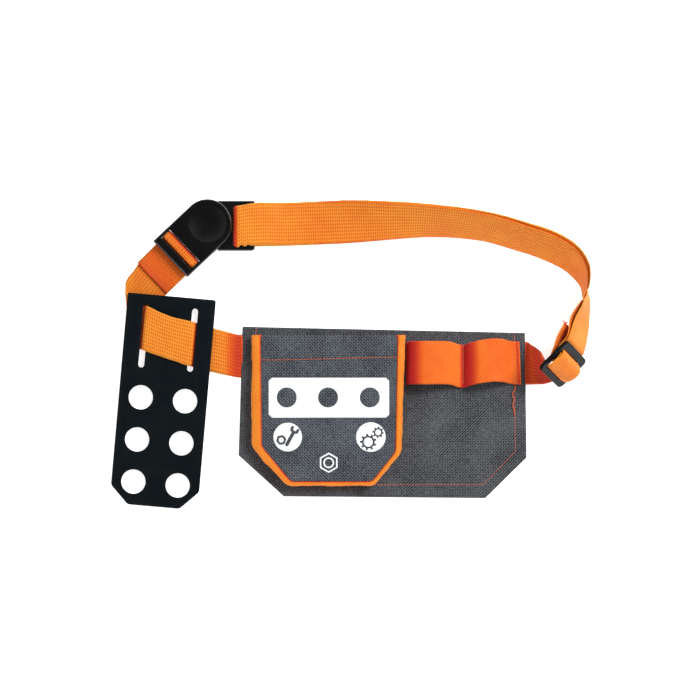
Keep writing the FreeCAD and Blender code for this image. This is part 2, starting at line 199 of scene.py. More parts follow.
def dyed_with_painted_shade(g, tone):
    """Orange dye that deepens to crimson as the tone goes from 0 to 1. The tone carries painted shade, so the
    deep red and crimson are mostly painted shade; the rest is the weave and uneven dye.
    """
    warm = g.mix(g.ramp(tone, 0.0, 0.55), BRIGHT, RED_ORANGE)
    return g.mix(g.ramp(tone, 0.5, 1.0), warm, CRIMSON_SHADE)


def webbing_material(name):
    """Ribs across the strap, rows of warp along it, and a dark dash in each gap between them."""
    g = Graph(name)
    across, along, shade = g.weave()
    rib = g.wave(along, RIB_PITCH)
    row = g.wave(across, ROW_PITCH)
    dash = g.math("MULTIPLY", g.less(rib), g.ramp(g.less(row), 0.3, 0.95))
    yarn = g.noise(g.combine(g.math("MULTIPLY", across, 2.4), g.math("MULTIPLY", along, 0.9)), 1.0, 3.0)
    broad = g.noise(g.combine(across, along), 0.045, 2.0)
    # The tone adds painted shade from the weave attribute to the weave's own darker yarns and uneven dye.
    tone = g.total(shade, (dash, 0.05), (g.less(rib), 0.14), (g.less(row), 0.05), (yarn, 0.9),
                   (broad, 0.3), -0.51)
    gap = g.total((dash, 0.62), (g.less(rib), 0.30))
    color = g.mix(g.ramp(gap, 0.0, 1.0), dyed_with_painted_shade(g, tone), GAP_BROWN)
    g.bump(g.total((row, 0.5), (yarn, 0.6), (dash, -1.0)), 0.8, 0.00026)
    return g.surface(color, g.total((yarn, 0.2), 0.6),
                     Sheen_Weight=0.08, Sheen_Roughness=0.4, Specular_IOR_Level=0.15)


def twill_tape_material(name, pitch, lift, grain):
    """Fine slanted ribs on smooth tape."""
    g = Graph(name)
    across, along, shade = g.weave()
    slant = g.wave(g.math("SUBTRACT", along, across), pitch)
    yarn = g.noise(g.combine(across, along), 1.9, 3.0)
    broad = g.noise(g.combine(across, along), 0.05, 2.0)
    # The tone adds painted shade from the weave attribute to the tape's slanted ribs and uneven dye.
    tone = g.total(shade, (g.less(slant), grain), (yarn, 0.6), (broad, 0.2), lift - 0.40)
    g.bump(g.total(slant, (yarn, 0.5)), 0.7, 0.0002)
    return g.surface(dyed_with_painted_shade(g, tone), 0.66, Sheen_Weight=0.08, Sheen_Roughness=0.4, Specular_IOR_Level=0.15)


def canvas_weave(g):
    """Twill: diagonal ridges broken up by the yarns, and uneven tones."""
    across, along, shade = g.weave()
    ridge = g.wave(g.math("SUBTRACT", across, along), TWILL_PITCH * 1.3)
    warp = g.wave(across, TWILL_PITCH)
    weft = g.wave(along, TWILL_PITCH)
    height = g.total((ridge, 0.55), (g.math("MULTIPLY", warp, weft), 0.45))
    slub = g.noise(g.combine(g.math("MULTIPLY", across, 0.22), along), 1.0, 3.0)
    slub_two = g.noise(g.combine(across, g.math("MULTIPLY", along, 0.22), 7.0), 1.0, 3.0)
    tone = g.total((slub, 0.5), (slub_two, 0.5))
    return height, tone, g.noise(g.combine(across, along), 0.03, 3.0), shade


def canvas_material(name, dark, light):
    g = Graph(name)
    height, tone, broad, shade = canvas_weave(g)
    # Shade is painted shade from the weave attribute; every canvas sheet here carries zero.
    value = g.total((height, 0.85), (tone, 1.6), (broad, 0.7), (shade, -1.0), -1.06)
    color = g.mix(g.ramp(value, -0.1, 1.0), dark, light)
    g.bump(height, 0.7, 0.0002)
    return g.surface(color, 0.82, Sheen_Weight=0.06, Sheen_Roughness=0.5, Specular_IOR_Level=0.15)


def ink_material(name, ink, cloth):
    """Printed ink that follows the weave under it and is thin in the gaps."""
    g = Graph(name)
    height, tone, broad, _ = canvas_weave(g)
    cover = g.ramp(g.total(height, (tone, 0.5)), 0.15, 0.45)
    color = g.mix(g.math("ADD", 0.8, g.math("MULTIPLY", cover, 0.2)), cloth, ink)
    g.bump(height, 0.35, 0.00012)
    return g.surface(color, g.math("ADD", 0.5, g.math("MULTIPLY", broad, 0.2)), Specular_IOR_Level=0.4)


def plastic_material(name, color, worn, roughness, grain, specular):
    """Moulded plastic with a fine grain, soft mottling and faint scuffs."""
    g = Graph(name)
    place = g.place()
    fine = g.noise(place, grain, 2.0)
    broad = g.noise(place, 60.0, 3.0)
    scuff = g.ramp(g.noise(place, 420.0, 4.0), 0.60, 0.72)
    tone = g.mix(g.math("MULTIPLY", scuff, 0.35), color, worn)
    tone = g.mix(g.math("MULTIPLY", broad, 0.3), tone, worn)
    rough = g.math("ADD", roughness, g.math("MULTIPLY", g.math("SUBTRACT", broad, 0.5), 0.16))
    rough = g.math("ADD", rough, g.math("MULTIPLY", scuff, 0.08))
    g.bump(fine, 0.25, 0.00006)
    return g.surface(tone, rough, Specular_IOR_Level=specular)


def thread_material(name, bright, deep):
    """Twisted sewing thread."""
    g = Graph(name)
    across, along, _ = g.weave()
    twist = g.wave(g.math("ADD", along, across), 0.5)
    fluff = g.noise(g.combine(across, along), 3.0, 2.0)
    color = g.mix(g.math("MULTIPLY", g.math("ADD", twist, fluff), 0.5), deep, bright)
    g.bump(twist, 0.5, 0.00006)
    return g.surface(color, 0.6, Sheen_Weight=0.3, Specular_IOR_Level=0.3)


def floor_material():
    """White paper on a light table, so that shadows on it are faint."""
    g = Graph("floor_paper")
    tone = g.noise(g.place(), 3.0, 2.0)
    color = g.mix(tone, (0.94, 0.94, 0.94, 1), (0.96, 0.96, 0.96, 1))
    return g.surface(color, 0.9, Specular_IOR_Level=0.1, Emission_Color=(1, 1, 1, 1), Emission_Strength=0.75)


WEB = webbing_material("webbing_orange")
TAPE = twill_tape_material("loop_tape_orange", 2.3, 0.12, 0.46)
GUSSET = twill_tape_material("gusset_tape_orange", 1.3, 0.16, 0.14)
CANVAS = canvas_material("canvas_slate", (0.008, 0.009, 0.011, 1), (0.112, 0.117, 0.128, 1))
FRONT_CANVAS = canvas_material("canvas_slate_front", (0.008, 0.011, 0.015, 1), (0.120, 0.133, 0.152, 1))
INK = ink_material("white_ink", (0.80, 0.81, 0.83, 1), (0.08, 0.09, 0.10, 1))
THREAD = thread_material("thread_orange", (0.74, 0.15, 0.03, 1), (0.42, 0.04, 0.008, 1))
BLACK = plastic_material("black_moulding", (0.0012, 0.0012, 0.0012, 1), (0.005, 0.005, 0.005, 1),
                         0.24, 2600.0, 0.42)
GREY = plastic_material("grey_moulding", (0.0015, 0.0014, 0.0014, 1), (0.005, 0.0045, 0.0045, 1),
                        0.42, 2600.0, 0.12)
SHEET = plastic_material("black_sheet", (0.0012, 0.0032, 0.0050, 1), (0.003, 0.006, 0.008, 1),
                         0.36, 1500.0, 0.20)


# ---------------------------------------------------------------- meshes


def smooth_shading(mesh):
    mesh.polygons.foreach_set("use_smooth", [True] * len(mesh.polygons))


def make_object(name, points, faces, material, weave=None):
    """A mesh object from points in millimetres."""
    mesh = bpy.data.meshes.new(name)
    mesh.from_pydata((np.asarray(points, float) * MM).tolist(), [], faces)
    mesh.update()
    smooth_shading(mesh)
    if weave is not None:
        layer = mesh.attributes.new("weave", "FLOAT_VECTOR", "POINT")
        layer.data.foreach_set("vector", np.asarray(weave, np.float32).ravel())
    mesh.materials.append(material)
    made = bpy.data.objects.new(name, mesh)
    bpy.context.collection.objects.link(made)
    return made


def bake_modifiers(obj):
    """Replace the object's mesh by what its modifiers make of it."""
    graph = bpy.context.evaluated_depsgraph_get()
    mesh = bpy.data.meshes.new_from_object(obj.evaluated_get(graph))
    obj.modifiers.clear()
    old = obj.data
    obj.data = mesh
    bpy.data.meshes.remove(old)
    return obj


def discard(*objects):
    for obj in objects:
        mesh = obj.data
        bpy.data.objects.remove(obj)
        if mesh.users == 0:
            bpy.data.meshes.remove(mesh)


def turn_outwards(mesh, weld=None):
    """Turn the mesh's faces outwards, after joining points closer than weld."""
    work = bmesh.new()
    work.from_mesh(mesh)
    if weld is not None:
        bmesh.ops.remove_doubles(work, verts=work.verts, dist=weld * MM)
    bmesh.ops.recalc_face_normals(work, faces=work.faces)
    work.to_mesh(mesh)
    work.free()


def grid_border(rows, columns):
    """Indices round the rim of a grid of points."""
    border = list(range(columns)) + [i * columns + columns - 1 for i in range(1, rows)]
    border += [(rows - 1) * columns + j for j in range(columns - 2, -1, -1)]
    return border + [i * columns for i in range(rows - 2, 0, -1)]


def thread_faces(first, rings, sides):
    """Faces round rings of points, with both ends closed."""
    faces = []
    for i in range(rings - 1):
        for j in range(sides):
            k = (j + 1) % sides
            a, b = first + i * sides, first + (i + 1) * sides
            faces.append((a + j, b + j, b + k, a + k))
    last = first + (rings - 1) * sides
    return faces + [tuple(range(first, first + sides)), tuple(range(last, last + sides))[::-1]]


def corner_turn(before, corner, after, radius, steps):
    """Points of a smooth turn at a corner."""
    before, corner, after = Vector(before), Vector(corner), Vector(after)
    start = corner + (before - corner).normalized() * radius
    end = corner + (after - corner).normalized() * radius
    shares = [k / (steps - 1) for k in range(steps)]
    return [start * (1 - t) ** 2 + corner * (2 * t * (1 - t)) + end * t**2 for t in shares]


def place_piece(obj, slot, body, *nodes):
    """The piece rides on a body and stands for CAD nodes."""
    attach(obj, body)
    if nodes:
        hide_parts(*nodes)
    return obj


def blend_piece(obj, slot, bodies, start, end, *nodes):
    """The piece stays where it lies, with its transform baked into its mesh, and stands for CAD nodes."""
    tuple(c * MM for c in start)
    tuple(c * MM for c in end)
    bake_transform(obj)
    if nodes:
        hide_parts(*nodes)
    return obj


def smoothstep(low, high, value):
    """From 0 at low to 1 at high, smooth at both."""
    t = min(max((value - low) / (high - low), 0.0), 1.0)
    return t * t * (3 - 2 * t)


def ripple(x, y, scale, seed):
    return noise.noise(Vector((x / scale, y / scale, seed)))


def framed(origin, heading, lean=0.0, dip=0.0):
    """Return a function from (along, across, out) of a tilted frame to the object's frame."""
    h, t, d = radians(heading), radians(lean), radians(dip)
    along = Vector((cos(h) * cos(d), sin(h) * cos(d), -sin(d)))
    across = Vector((-sin(h), cos(h), 0)) * cos(t)
    across += Vector((cos(h) * sin(d), sin(h) * sin(d), cos(d))) * sin(t)
    out = across.cross(along)
    return lambda s, w, n=0.0: Vector(origin) + along * s + across * w + out * n


# ---------------------------------------------------------------- webbing


def through(points, step):
    """Rows of a smooth curve through rows of numbers, evenly spaced, and the length at each given row."""
    p = np.asarray(points, float)
    points_in_row = max(p.shape[1] // 3, 1)
    chords = np.sqrt((np.diff(p, axis=0) ** 2).sum(1) / points_in_row)
    t = np.concatenate([[0.0], np.cumsum(chords)])
    slope = np.empty_like(p)
    slope[1:-1] = (p[2:] - p[:-2]) / (t[2:] - t[:-2])[:, None]
    slope[0] = (p[1] - p[0]) / (t[1] - t[0])
    slope[-1] = (p[-1] - p[-2]) / (t[-1] - t[-2])
    count = int(t[-1] / step) + 1
    at = np.linspace(0, t[-1], count)
    i = np.clip(np.searchsorted(t, at, side="right") - 1, 0, len(t) - 2)
    span = (t[i + 1] - t[i])[:, None]
    u = (at - t[i])[:, None] / span
    rows = (p[i] * (2 * u**3 - 3 * u**2 + 1) + slope[i] * span * (u**3 - 2 * u**2 + u)
            + p[i + 1] * (3 * u**2 - 2 * u**3) + slope[i + 1] * span * (u**3 - u**2))
    return rows, at, t


def painted_shade_along(length, marks):
    """Painted shade along webbing. Each mark is a place, its reach before and after it, and the depth of the
    painted shade there.
    """
    tone = np.zeros_like(length)
    for place, before, after, depth in marks:
        reach = np.where(length < place, before, after)
        tone = np.maximum(tone, depth * np.exp(-(((length - place) / reach) ** 2)))
    return tone


class Strap:
    """One continuous strap through stations, cut into pieces that ride on different bodies.

    A mark of painted shade is a station, its reach before and after it, and how deep the painted shade is
    there.
    """

    ACROSS = 13

    def __init__(self, stations, thickness=WEB_THICK, seed=0.0, painted_shade_marks=()):
        rows, at, self.lengths = through([(*a, *b) for a, b in stations], WEB_STEP)
        self.length = length = at
        low, high = rows[:, :3], rows[:, 3:]
        middle = (low + high) / 2
        wide = high - low
        along = np.gradient(middle, axis=0)
        normal = np.cross(along, wide)
        normal /= np.linalg.norm(normal, axis=1)[:, None]
        for _ in range(3):
            normal[1:-1] = (normal[:-2] + 2 * normal[1:-1] + normal[2:]) / 4
            normal /= np.linalg.norm(normal, axis=1)[:, None]
        marks = [(np.interp(m[0], range(len(self.lengths)), self.lengths), *m[1:]) for m in painted_shade_marks]
        # Painted shade along the strap, in creases, at bends and over stretches that lie in shade.
        self.tone = painted_shade_along(length, marks)
        rib = np.cos(2 * np.pi * length / RIB_PITCH) * RIB_HIGH
        v = np.linspace(-1, 1, self.ACROSS)
        v = np.sign(v) * (1 - (1 - np.abs(v)) ** 1.35)
        ring = []
        for j, across in enumerate(np.concatenate([v, v[-2:0:-1]])):
            face = 1.0 if j < self.ACROSS else -1.0
            bulge = (1 - abs(across) ** 6) ** 0.5
            high_here = (thickness / 2 + rib) * bulge * face
            wobble = np.array([noise.noise(Vector((s / 31, across * 0.8, seed))) for s in length]) * 0.22
            edge = 0.0
            if abs(across) > 0.9:
                edge = np.array([noise.noise(Vector((s / 7, across, seed + 5))) for s in length]) * 0.25
            unit = wide / np.linalg.norm(wide, axis=1)[:, None]
            point = middle + wide * (across / 2) + unit * np.reshape(edge, (-1, 1))
            point = point + normal * (high_here + wobble)[:, None]
            ring.append((point, across))
        self.points = np.stack([p for p, _ in ring], axis=1)
        self.across = np.array([a for _, a in ring]) * WEB_WIDTH / 2
        whole = self.mesh_of("whole", 0, len(length))
        self.normals = np.zeros(len(whole.data.vertices) * 3, np.float32)
        whole.data.vertex_normals.foreach_get("vector", self.normals)
        self.normals = self.normals.reshape(len(length), -1, 3)
        discard(whole)

    def mesh_of(self, name, first, last, edge=0.0):
        """A closed mesh of some of the strap's cross sections. Edge is painted light and shade along its
        edges: a painted highlight below zero, painted shade above zero.
        """
        points = self.points[first:last]
        count, ring = points.shape[:2]
        faces = []
        for i in range(count - 1):
            for j in range(ring):
                k = (j + 1) % ring
                faces.append((i * ring + j, i * ring + k, (i + 1) * ring + k, (i + 1) * ring + j))
        faces.append(tuple(range(ring))[::-1])
        faces.append(tuple((count - 1) * ring + j for j in range(ring)))
        weave = np.zeros((count, ring, 3))
        weave[:, :, 0] = self.across[None, :]
        weave[:, :, 1] = self.length[first:last, None]
        painted_edge_light_and_shade = edge * np.clip((np.abs(self.across) / WEB_WIDTH * 2 - 0.9) * 12, 0, 1)
        weave[:, :, 2] = self.tone[first:last, None] + painted_edge_light_and_shade[None, :]
        return make_object(name, points.reshape(-1, 3), faces, WEB, weave.reshape(-1, 3))

    def section(self, station):
        """The number of the cross section at a station."""
        return int(round(self.lengths[station] / self.length[1]))

    # By default the strap's edges get a painted highlight.
    def piece(self, name, start, end, edge=-0.25):
        """The stretch from one station to another, shaded as part of the whole strap."""
        first, last = self.section(start), self.section(end) + 1
        made = self.mesh_of(name, first, min(last, len(self.length)), edge)
        made.data.normals_split_custom_set_from_vertices(self.normals[first:last].reshape(-1, 3).tolist())
        return made

    def middle(self, station):
        """The strap's middle at a station."""
        row = min(self.section(station), len(self.length) - 1)
        return tuple(self.points[row].mean(axis=0))


# Stations repeated from the frame's design, in millimetres
PASS_PATH = [
    (26, 3.6), (23.6, 3.6), (22.4, 4.6), (21.7, 6.5), (20, 8.0), (16, 8.5), (8, 8.7), (0, 8.8), (-8, 8.7),
    (-16, 8.5), (-20, 8.0), (-21.7, 6.5), (-22.4, 4.6), (-23.6, 3.6), (-26, 3.6),
]
PASS_SLANT = 0.245
PASS_TOP = 15.6
PASS_SPAN = 39.2
PASS_SAG = 1.9  # how far the upper edge hangs down in the middle
# Along the belt from the stud, height, and the webbing's two edges across the stud
BASE_WRAP = [
    (50, 1.05, -19, 19), (30, 1.05, -19, 19), (24, 1.3, -19, 17), (22.4, 3.0, -19.2, 16),
    (22.4, 5.4, -19.3, 15.8), (23.6, 6.9, -19.8, 15.8), (26.5, 7.3, -20.3, 16.2), (29.3, 7.3, -18.4, 16.8),
    (32, 7.3, -19.9, 17.3),
    (35, 7.3, -18.3, 17.8), (38, 7.3, -19.0, 18.3), (50, 6.6, -18.5, 19.2),
]
CAP_WRAP = [
    (62, 1.4), (46, 3.2), (36.5, 5.0), (30.6, 5.2), (28.9, 6.6), (28.9, 8.8), (30.2, 10.5),
    (35.0, 10.7), (36.4, 9.6), (36.9, 7.9), (39.0, 6.8), (46, 4.9), (62, 3.1), (69, 2.9),
]
RING = [
    (-86, 147.6, 1, 0), (-57, 148.5, 2, 4), (-29, 149.8, 3, 17), (-2, 152, 3, 33),
    (42, 155, -1, 50), (86, 152, -10, 58), (122, 142, -17, 60), (141, 135.5, -21, 61),
    (157, 128, -31, 66), (167.5, 120, -46, 77), (175.5, 110.5, -66, 92), (181, 100.5, -90, 103),
]
LAYER_RISE = 2.8  # how much higher the outer strand stands at the corner
OUTER_CORNER = [(177.0, 111, -74, 96), (182.0, 101, -96, 110)]
INNER_CORNER = (177.8, 101, -86, 99)
FRONT_RUN = [(184, 92, -108, 112), (182.6, 72, -121, 124)]
INNER_OFFSETS = [(-2.3, 0.5, -0.3), (-4.0, 0.8, -0.3)]
OUTER_PASS = [
    (-20, -2.9, 2.5), (-12.4, -2.9, 0), (-9.2, -1.2, 0), (-8.5, 2.2, 0), (-6.6, 5.2, 0), (-3.2, 6.8, 0.3),
    (0, 7, 0.7), (3.4, 6.8, 1.4), (7.2, 5.4, 1.4), (10.1, 1.8, 0), (10.8, -2.4, 0), (9.6, -7.5, 0),
]
INNER_LOOP = [
    (-20, -4.8, 2.5), (-8.4, -4.6, 0), (-6.4, -1.9, 0), (-5.8, 1.2, 0), (-3.5, 3.6, 0), (0, 4.5, 0),
    (2.6, 3.9, 0), (3.9, 1.2, 0), (3.4, -2.4, 0), (-0.5, -5.6, 0), (-5, -7.2, 1), (-10, -9.4, 2.5),
    (-16, -11.6, 4), (-22, -13.2, 4.5), (-26.5, -14.4, 4.5),
]
# How high the webbing's lower and upper edges stand over the slider's bar, for each millimetre of its path
OVER_BAR_TILT = (1.15, 0.55)
PANEL_RUN = [
    ((135.5, 24.8, 2.0), (130.6, 60.0, 9.0)), ((143, 25.2, 2.0), (133.4, 57.4, 16.5)),
    ((151, 27.8, 1.8), (136.6, 53.0, 25.0)),
]


def ring_edges(stations, layer):
    """Edge points of a strand in the waist loop. Layer 0 is the inner strand, 1 the outer one."""
    edges = []
    for x, y, heading, lean in stations:
        slope = cos(radians(lean))
        below = WEB_THICK / 2 + (LAYER_STEP if slope > 0 else 0)
        place = framed((x, y, TABLE_GAP + below * abs(slope)), heading, lean)
        rise = layer * LAYER_RISE * smoothstep(60, 140, x)
        edges.append((place(0, rise, layer * LAYER_STEP), place(0, rise + WEB_WIDTH, layer * LAYER_STEP)))
    return edges


def slider_edges(at, path):
    """Edges of webbing at the slider. Over the bar its lower edge stands further out than its upper one."""
    edges = []
    for s, n, shift in path:
        low, high = (n * f if n > 0 else n for f in OVER_BAR_TILT)
        edges.append((at(s, shift - WEB_WIDTH / 2, low), at(s, shift + WEB_WIDTH / 2, high)))
    return edges


def belt_middle(x):
    """The belt's centre line between the panel's sheets."""
    return BELT_LEFT_Y + (BELT_RIGHT_Y - BELT_LEFT_Y) * (x + 126) / 252


def belt_edges(x):
    """The belt's lower and upper edges between the panel's sheets."""
    y, half = belt_middle(x), WEB_WIDTH / 2
    return Vector((x, y - half, BELT_Z)), Vector((x, y + half, BELT_Z))


def lay(strap, first, last, name, *bodies, start=None, end=None, nodes=None, edge=-0.25):
    """Place a stretch of strap on one body, or leave a stretch between two bodies where it lies."""
    made = strap.piece(name, first, last, edge)
    nodes = nodes or [name]
    if len(bodies) == 1:
        return place_piece(made, "webbing", *bodies, *nodes)
    start = start or strap.middle(first)
    end = end or strap.middle(last)
    return blend_piece(made, "webbing", bodies, start, end, *nodes)


def build_left_belt():
    """From the panel through the holder sheet, under it, and up to the sewn end on the buckle's cap."""
    half = WEB_WIDTH / 2
    stations = [belt_edges(x) for x in (-90, -112, -BELT_END_X)]
    at_panel = len(stations) - 1
    stations += [
        (Vector((-137, 32.6, 2.5)), Vector((-136, 71.0, 2.6))),
        (Vector((-149, 35.4, 3.1)), Vector((-147, 74.0, 3.1))),
    ]
    plate = framed((*PLATE_TOP, 0), PLATE_TILT)
    pass_first = len(stations)
    for u, z in PASS_PATH:
        v = PASS_TOP + PASS_SLANT * u
        sag = PASS_SAG * max(0.0, 1 - (u / 18) ** 2)
        low, high = plate(u, -v - PASS_SPAN), plate(u, -v - sag)
        stations.append((Vector((low.x, low.y, z)), Vector((high.x, high.y, z))))
    pass_last = len(stations) - 1
    stations += [
        (Vector((-220.6, 60.0, 3.8)), Vector((-221.6, 100.5, 3.9))),
        (Vector((-223.4, 65.5, 3.1)), Vector((-225.2, 105.6, 3.3))),
        (Vector((-223.8, 68.5, 1.6)), Vector((-227.8, 111.0, 1.7))),
        (Vector((-219.5, 75.0, 1.0)), Vector((-226.8, 117.6, 1.0))),
        (Vector((-210, 87, 1.1)), Vector((-220.5, 125.8, 1.1))),
    ]
    turn_last = len(stations) - 1
    cap = framed((*STUD_AT, 0), CAP_HEADING)
    wrap_first = len(stations)
    for u, z in CAP_WRAP:
        low, high = cap(u, half), cap(u, -half)
        stations.append((Vector((low.x, low.y, z)), Vector((high.x, high.y, z))))
    end = len(stations) - 1
    # Painted shade where the belt goes under the panel, at the holder's slots, round the cap's bar and along
    # the sewn end.
    painted_shade_marks = [
        (at_panel, 4, 9, 0.75), (at_panel, 4, 16, 0.15), (pass_first + 2, 6, 1.5, 0.6),
        (pass_last - 2, 1.5, 6, 0.6), (pass_last + 2, 30, 50, -0.5),
        (wrap_first + 1, 30, 20, 0.3), (wrap_first + 5, 9, 2.6, 0.95),
        (wrap_first + 9, 1.6, 3, 0.9), (wrap_first + 10.6, 3, 5, 0.55), (end - 1, 34, 60, 0.30),
        (end - 0.63, 0.9, 0.9, 0.5), (end, 1.6, 1.6, 0.95),
    ]
    strap = Strap(stations, seed=1.0, painted_shade_marks=painted_shade_marks)
    lay(strap, 0, pass_first, "belt_panel_to_holder", "belt", "holder_pass",
        start=(-128, 50, 2), end=(-152, 56, 3))
    lay(strap, pass_first, pass_last, "belt_through_holder", "holder_pass")
    lay(strap, pass_last, turn_last, "belt_turn_under_holder", "holder_pass", "belt")
    clear_of_plate = Vector(strap.middle(turn_last)).lerp(Vector(strap.middle(wrap_first)), 0.3)
    lay(strap, turn_last, wrap_first, "belt_strand_to_buckle", "belt", "buckle_cap", start=clear_of_plate)
    lay(strap, wrap_first, end, "belt_end_on_cap", "buckle_cap")
    row_z = CAP_WRAP[-1][1] + WEB_THICK / 2 + 0.05
    rows = []
    for u in (64.5, 66.5):
        points = [cap(u, w) for w in np.linspace(-half + 1.2, half - 1.2, 20)]
        rows.append([(p.x, p.y, row_z) for p in points])
    place_piece(stitches("belt_end_seam", rows), "thread", "buckle_cap", "belt_end_seam")


def build_right_belt():
    """From the panel through the slider, round the back, round the base's bar and back to the slider."""
    at = framed(SLIDER_AT, SLIDER_HEADING, SLIDER_LEAN, SLIDER_DIP)
    stations = [belt_edges(x) for x in (90, 112, BELT_END_X)]
    stations += [(Vector(low), Vector(high)) for low, high in PANEL_RUN]
    m = {"pass": len(stations)}
    stations += reversed(slider_edges(at, OUTER_PASS))
    m["pass_end"] = len(stations) - 1
    for edges in reversed(ring_edges(FRONT_RUN, 0)):
        stations.append(edges)
    m["corner"] = len(stations)
    outer = ring_edges(RING[:-2] + OUTER_CORNER, 1)
    stations += reversed(outer[1:])
    m["near"] = len(stations) - 1
    stations.append(outer[0])
    m["wrap"] = len(stations)
    x, y = STUD_AT
    for u, z, low, high in BASE_WRAP:
        stations.append((Vector((x + u, y + low, z)), Vector((x + u, y + high, z))))
    m["wrap_end"] = len(stations) - 1
    inner = ring_edges(RING[:-1] + [INNER_CORNER], 0)
    stations.append(inner[0])
    m["inner_near"] = len(stations)
    stations += inner[1:]
    m["inner_corner"] = len(stations) - 1
    for (a, b), by in zip(ring_edges(FRONT_RUN, 0), INNER_OFFSETS):
        stations.append((a + Vector(by), b + Vector(by)))
    m["loop"] = len(stations)
    stations += slider_edges(at, INNER_LOOP)
    end = len(stations) - 1
    # Painted shade from the panel to the slider, at the slider's bar, where the strap turns at the base, and
    # along the end loop.
    painted_shade_marks = [
        (2, 5, 12, 0.7), (4, 14, 16, 0.85), (m["pass"] + 1, 14, 3.0, 0.95), (m["pass"] + 5, 6, 6, 0.12),
        (m["pass_end"] - 2, 2.5, 3.5, 0.85), (m["pass_end"], 3, 26, 0.05), (m["wrap"] + 2, 4, 4, 0.8),
        (m["wrap"] + 5, 9, 1.8, 0.95), (m["inner_near"], 40, 60, 0.08), (m["loop"], 60, 4, 0.25),
        (m["loop"] + 2, 3, 3, 0.85), (m["loop"] + 8, 3, 4, 0.85), (m["loop"] + 10, 4, 30, 0.18),
        (end, 0.8, 0.8, 0.7),
    ]
    strap = Strap(stations, seed=9.0, painted_shade_marks=painted_shade_marks)
    lay(strap, 0, m["pass"], "belt_panel_to_slider", "belt", "slider", start=strap.middle(3))
    lay(strap, m["pass"], m["pass_end"], "belt_over_slider_bar", "slider")
    lay(strap, m["pass_end"], m["corner"], "outer_strand_to_slider", "slider", "belt")
    lay(strap, m["corner"], m["near"], "outer_strand", "belt",
        nodes=["outer_strand_corner", "outer_strand_back"])
    lay(strap, m["near"], m["wrap"], "outer_strand_near_buckle", "belt", "buckle_base")
    lay(strap, m["wrap"], m["wrap_end"], "strap_turn_at_base", "buckle_base")
    lay(strap, m["wrap_end"], m["inner_near"], "inner_strand_near_buckle", "buckle_base", "belt")
    # Painted shade along the inner strand's edges, where the outer strand shades it.
    lay(strap, m["inner_near"], m["inner_corner"], "inner_strand", "belt", edge=0.2,
        nodes=["inner_strand_back", "inner_strand_corner"])
    lay(strap, m["inner_corner"], m["loop"], "inner_strand_to_slider", "belt", "slider")
    lay(strap, m["loop"], end, "inner_strand_end_loop", "slider")
    (a, b), (c, d) = stations[end - 2], stations[end - 1]
    below = (c - a).cross(b - a).normalized()
    rows = []
    for share in (0.1, 0.42):
        low, high = a.lerp(c, share), b.lerp(d, share)
        rows.append([tuple(low.lerp(high, w) + below * (WEB_THICK / 2 + 0.05))
                     for w in np.linspace(0.03, 0.97, 20)])
    seam = stitches("inner_strand_end_seam", rows, up=below)
    place_piece(seam, "thread", "slider", "inner_strand_end_seam")
    a, b = stations[end]
    tail = b.lerp(a, 0.02)
    away = (b - a).normalized()
    frayed = [tuple(tail + away * (4 * f) + below * (1.6 * sin(pi * f)) + Vector((1.6 * sin(7 * f), 0, 0)))
              for f in np.linspace(0, 1, 26)]
    place_piece(tube("frayed_thread_at_slider", frayed, 0.42), "thread", "slider")


# ---------------------------------------------------------------- stitching


def stitches(name, rows, up=(0, 0, 1), long=2.5, gap=0.3, radius=0.27, seed=3):
    """Lock stitches along rows of points. Each is a short thread that dips into the cloth at its ends."""
    random = np.random.default_rng(seed)
    up = Vector(up).normalized()
    sides, rings = 6, 7
    points, faces, weave = [], [], []
    for row in rows:
        path = np.asarray(row, float)
        t = np.concatenate([[0.0], np.cumsum(np.linalg.norm(np.diff(path, axis=0), axis=1))])
        start = 0.2
        while start + long < t[-1]:
            begin = start + random.uniform(-0.12, 0.12)
            sway = random.uniform(-0.12, 0.12)
            first = len(points)
            for i in range(rings):
                f = i / (rings - 1)
                at = begin + f * long
                centre = Vector([np.interp(at, t, path[:, k]) for k in range(3)])
                ahead = Vector([np.interp(at + 0.3, t, path[:, k]) for k in range(3)])
                back = Vector([np.interp(at - 0.3, t, path[:, k]) for k in range(3)])
                along = (ahead - back).normalized()
                side = along.cross(up).normalized()
                lift = sin(pi * f) ** 0.6 * radius * 1.1 - radius * 0.8
                centre = centre + up * lift + side * (sway * sin(pi * f))
                size = radius * (0.55 + 0.45 * sin(pi * f) ** 0.5)
                for j in range(sides):
                    a = 2 * pi * j / sides
                    points.append(tuple(centre + side * (cos(a) * size) + up * (sin(a) * size)))
                    weave.append((a * 0.3, at, 0))
            faces += thread_faces(first, rings, sides)
            start += long + gap
    return make_object(name, points, faces, THREAD, weave)


# ---------------------------------------------------------------- panel and pocket


def edge_distance(outline, x, y):
    """How far a point lies inside a convex outline that runs clockwise."""
    best = 1e9
    for (x0, y0), (x1, y1) in zip(outline, outline[1:] + outline[:1]):
        run = hypot(x1 - x0, y1 - y0)
        best = min(best, ((y1 - y0) * (x - x0) - (x1 - x0) * (y - y0)) / run)
    return best


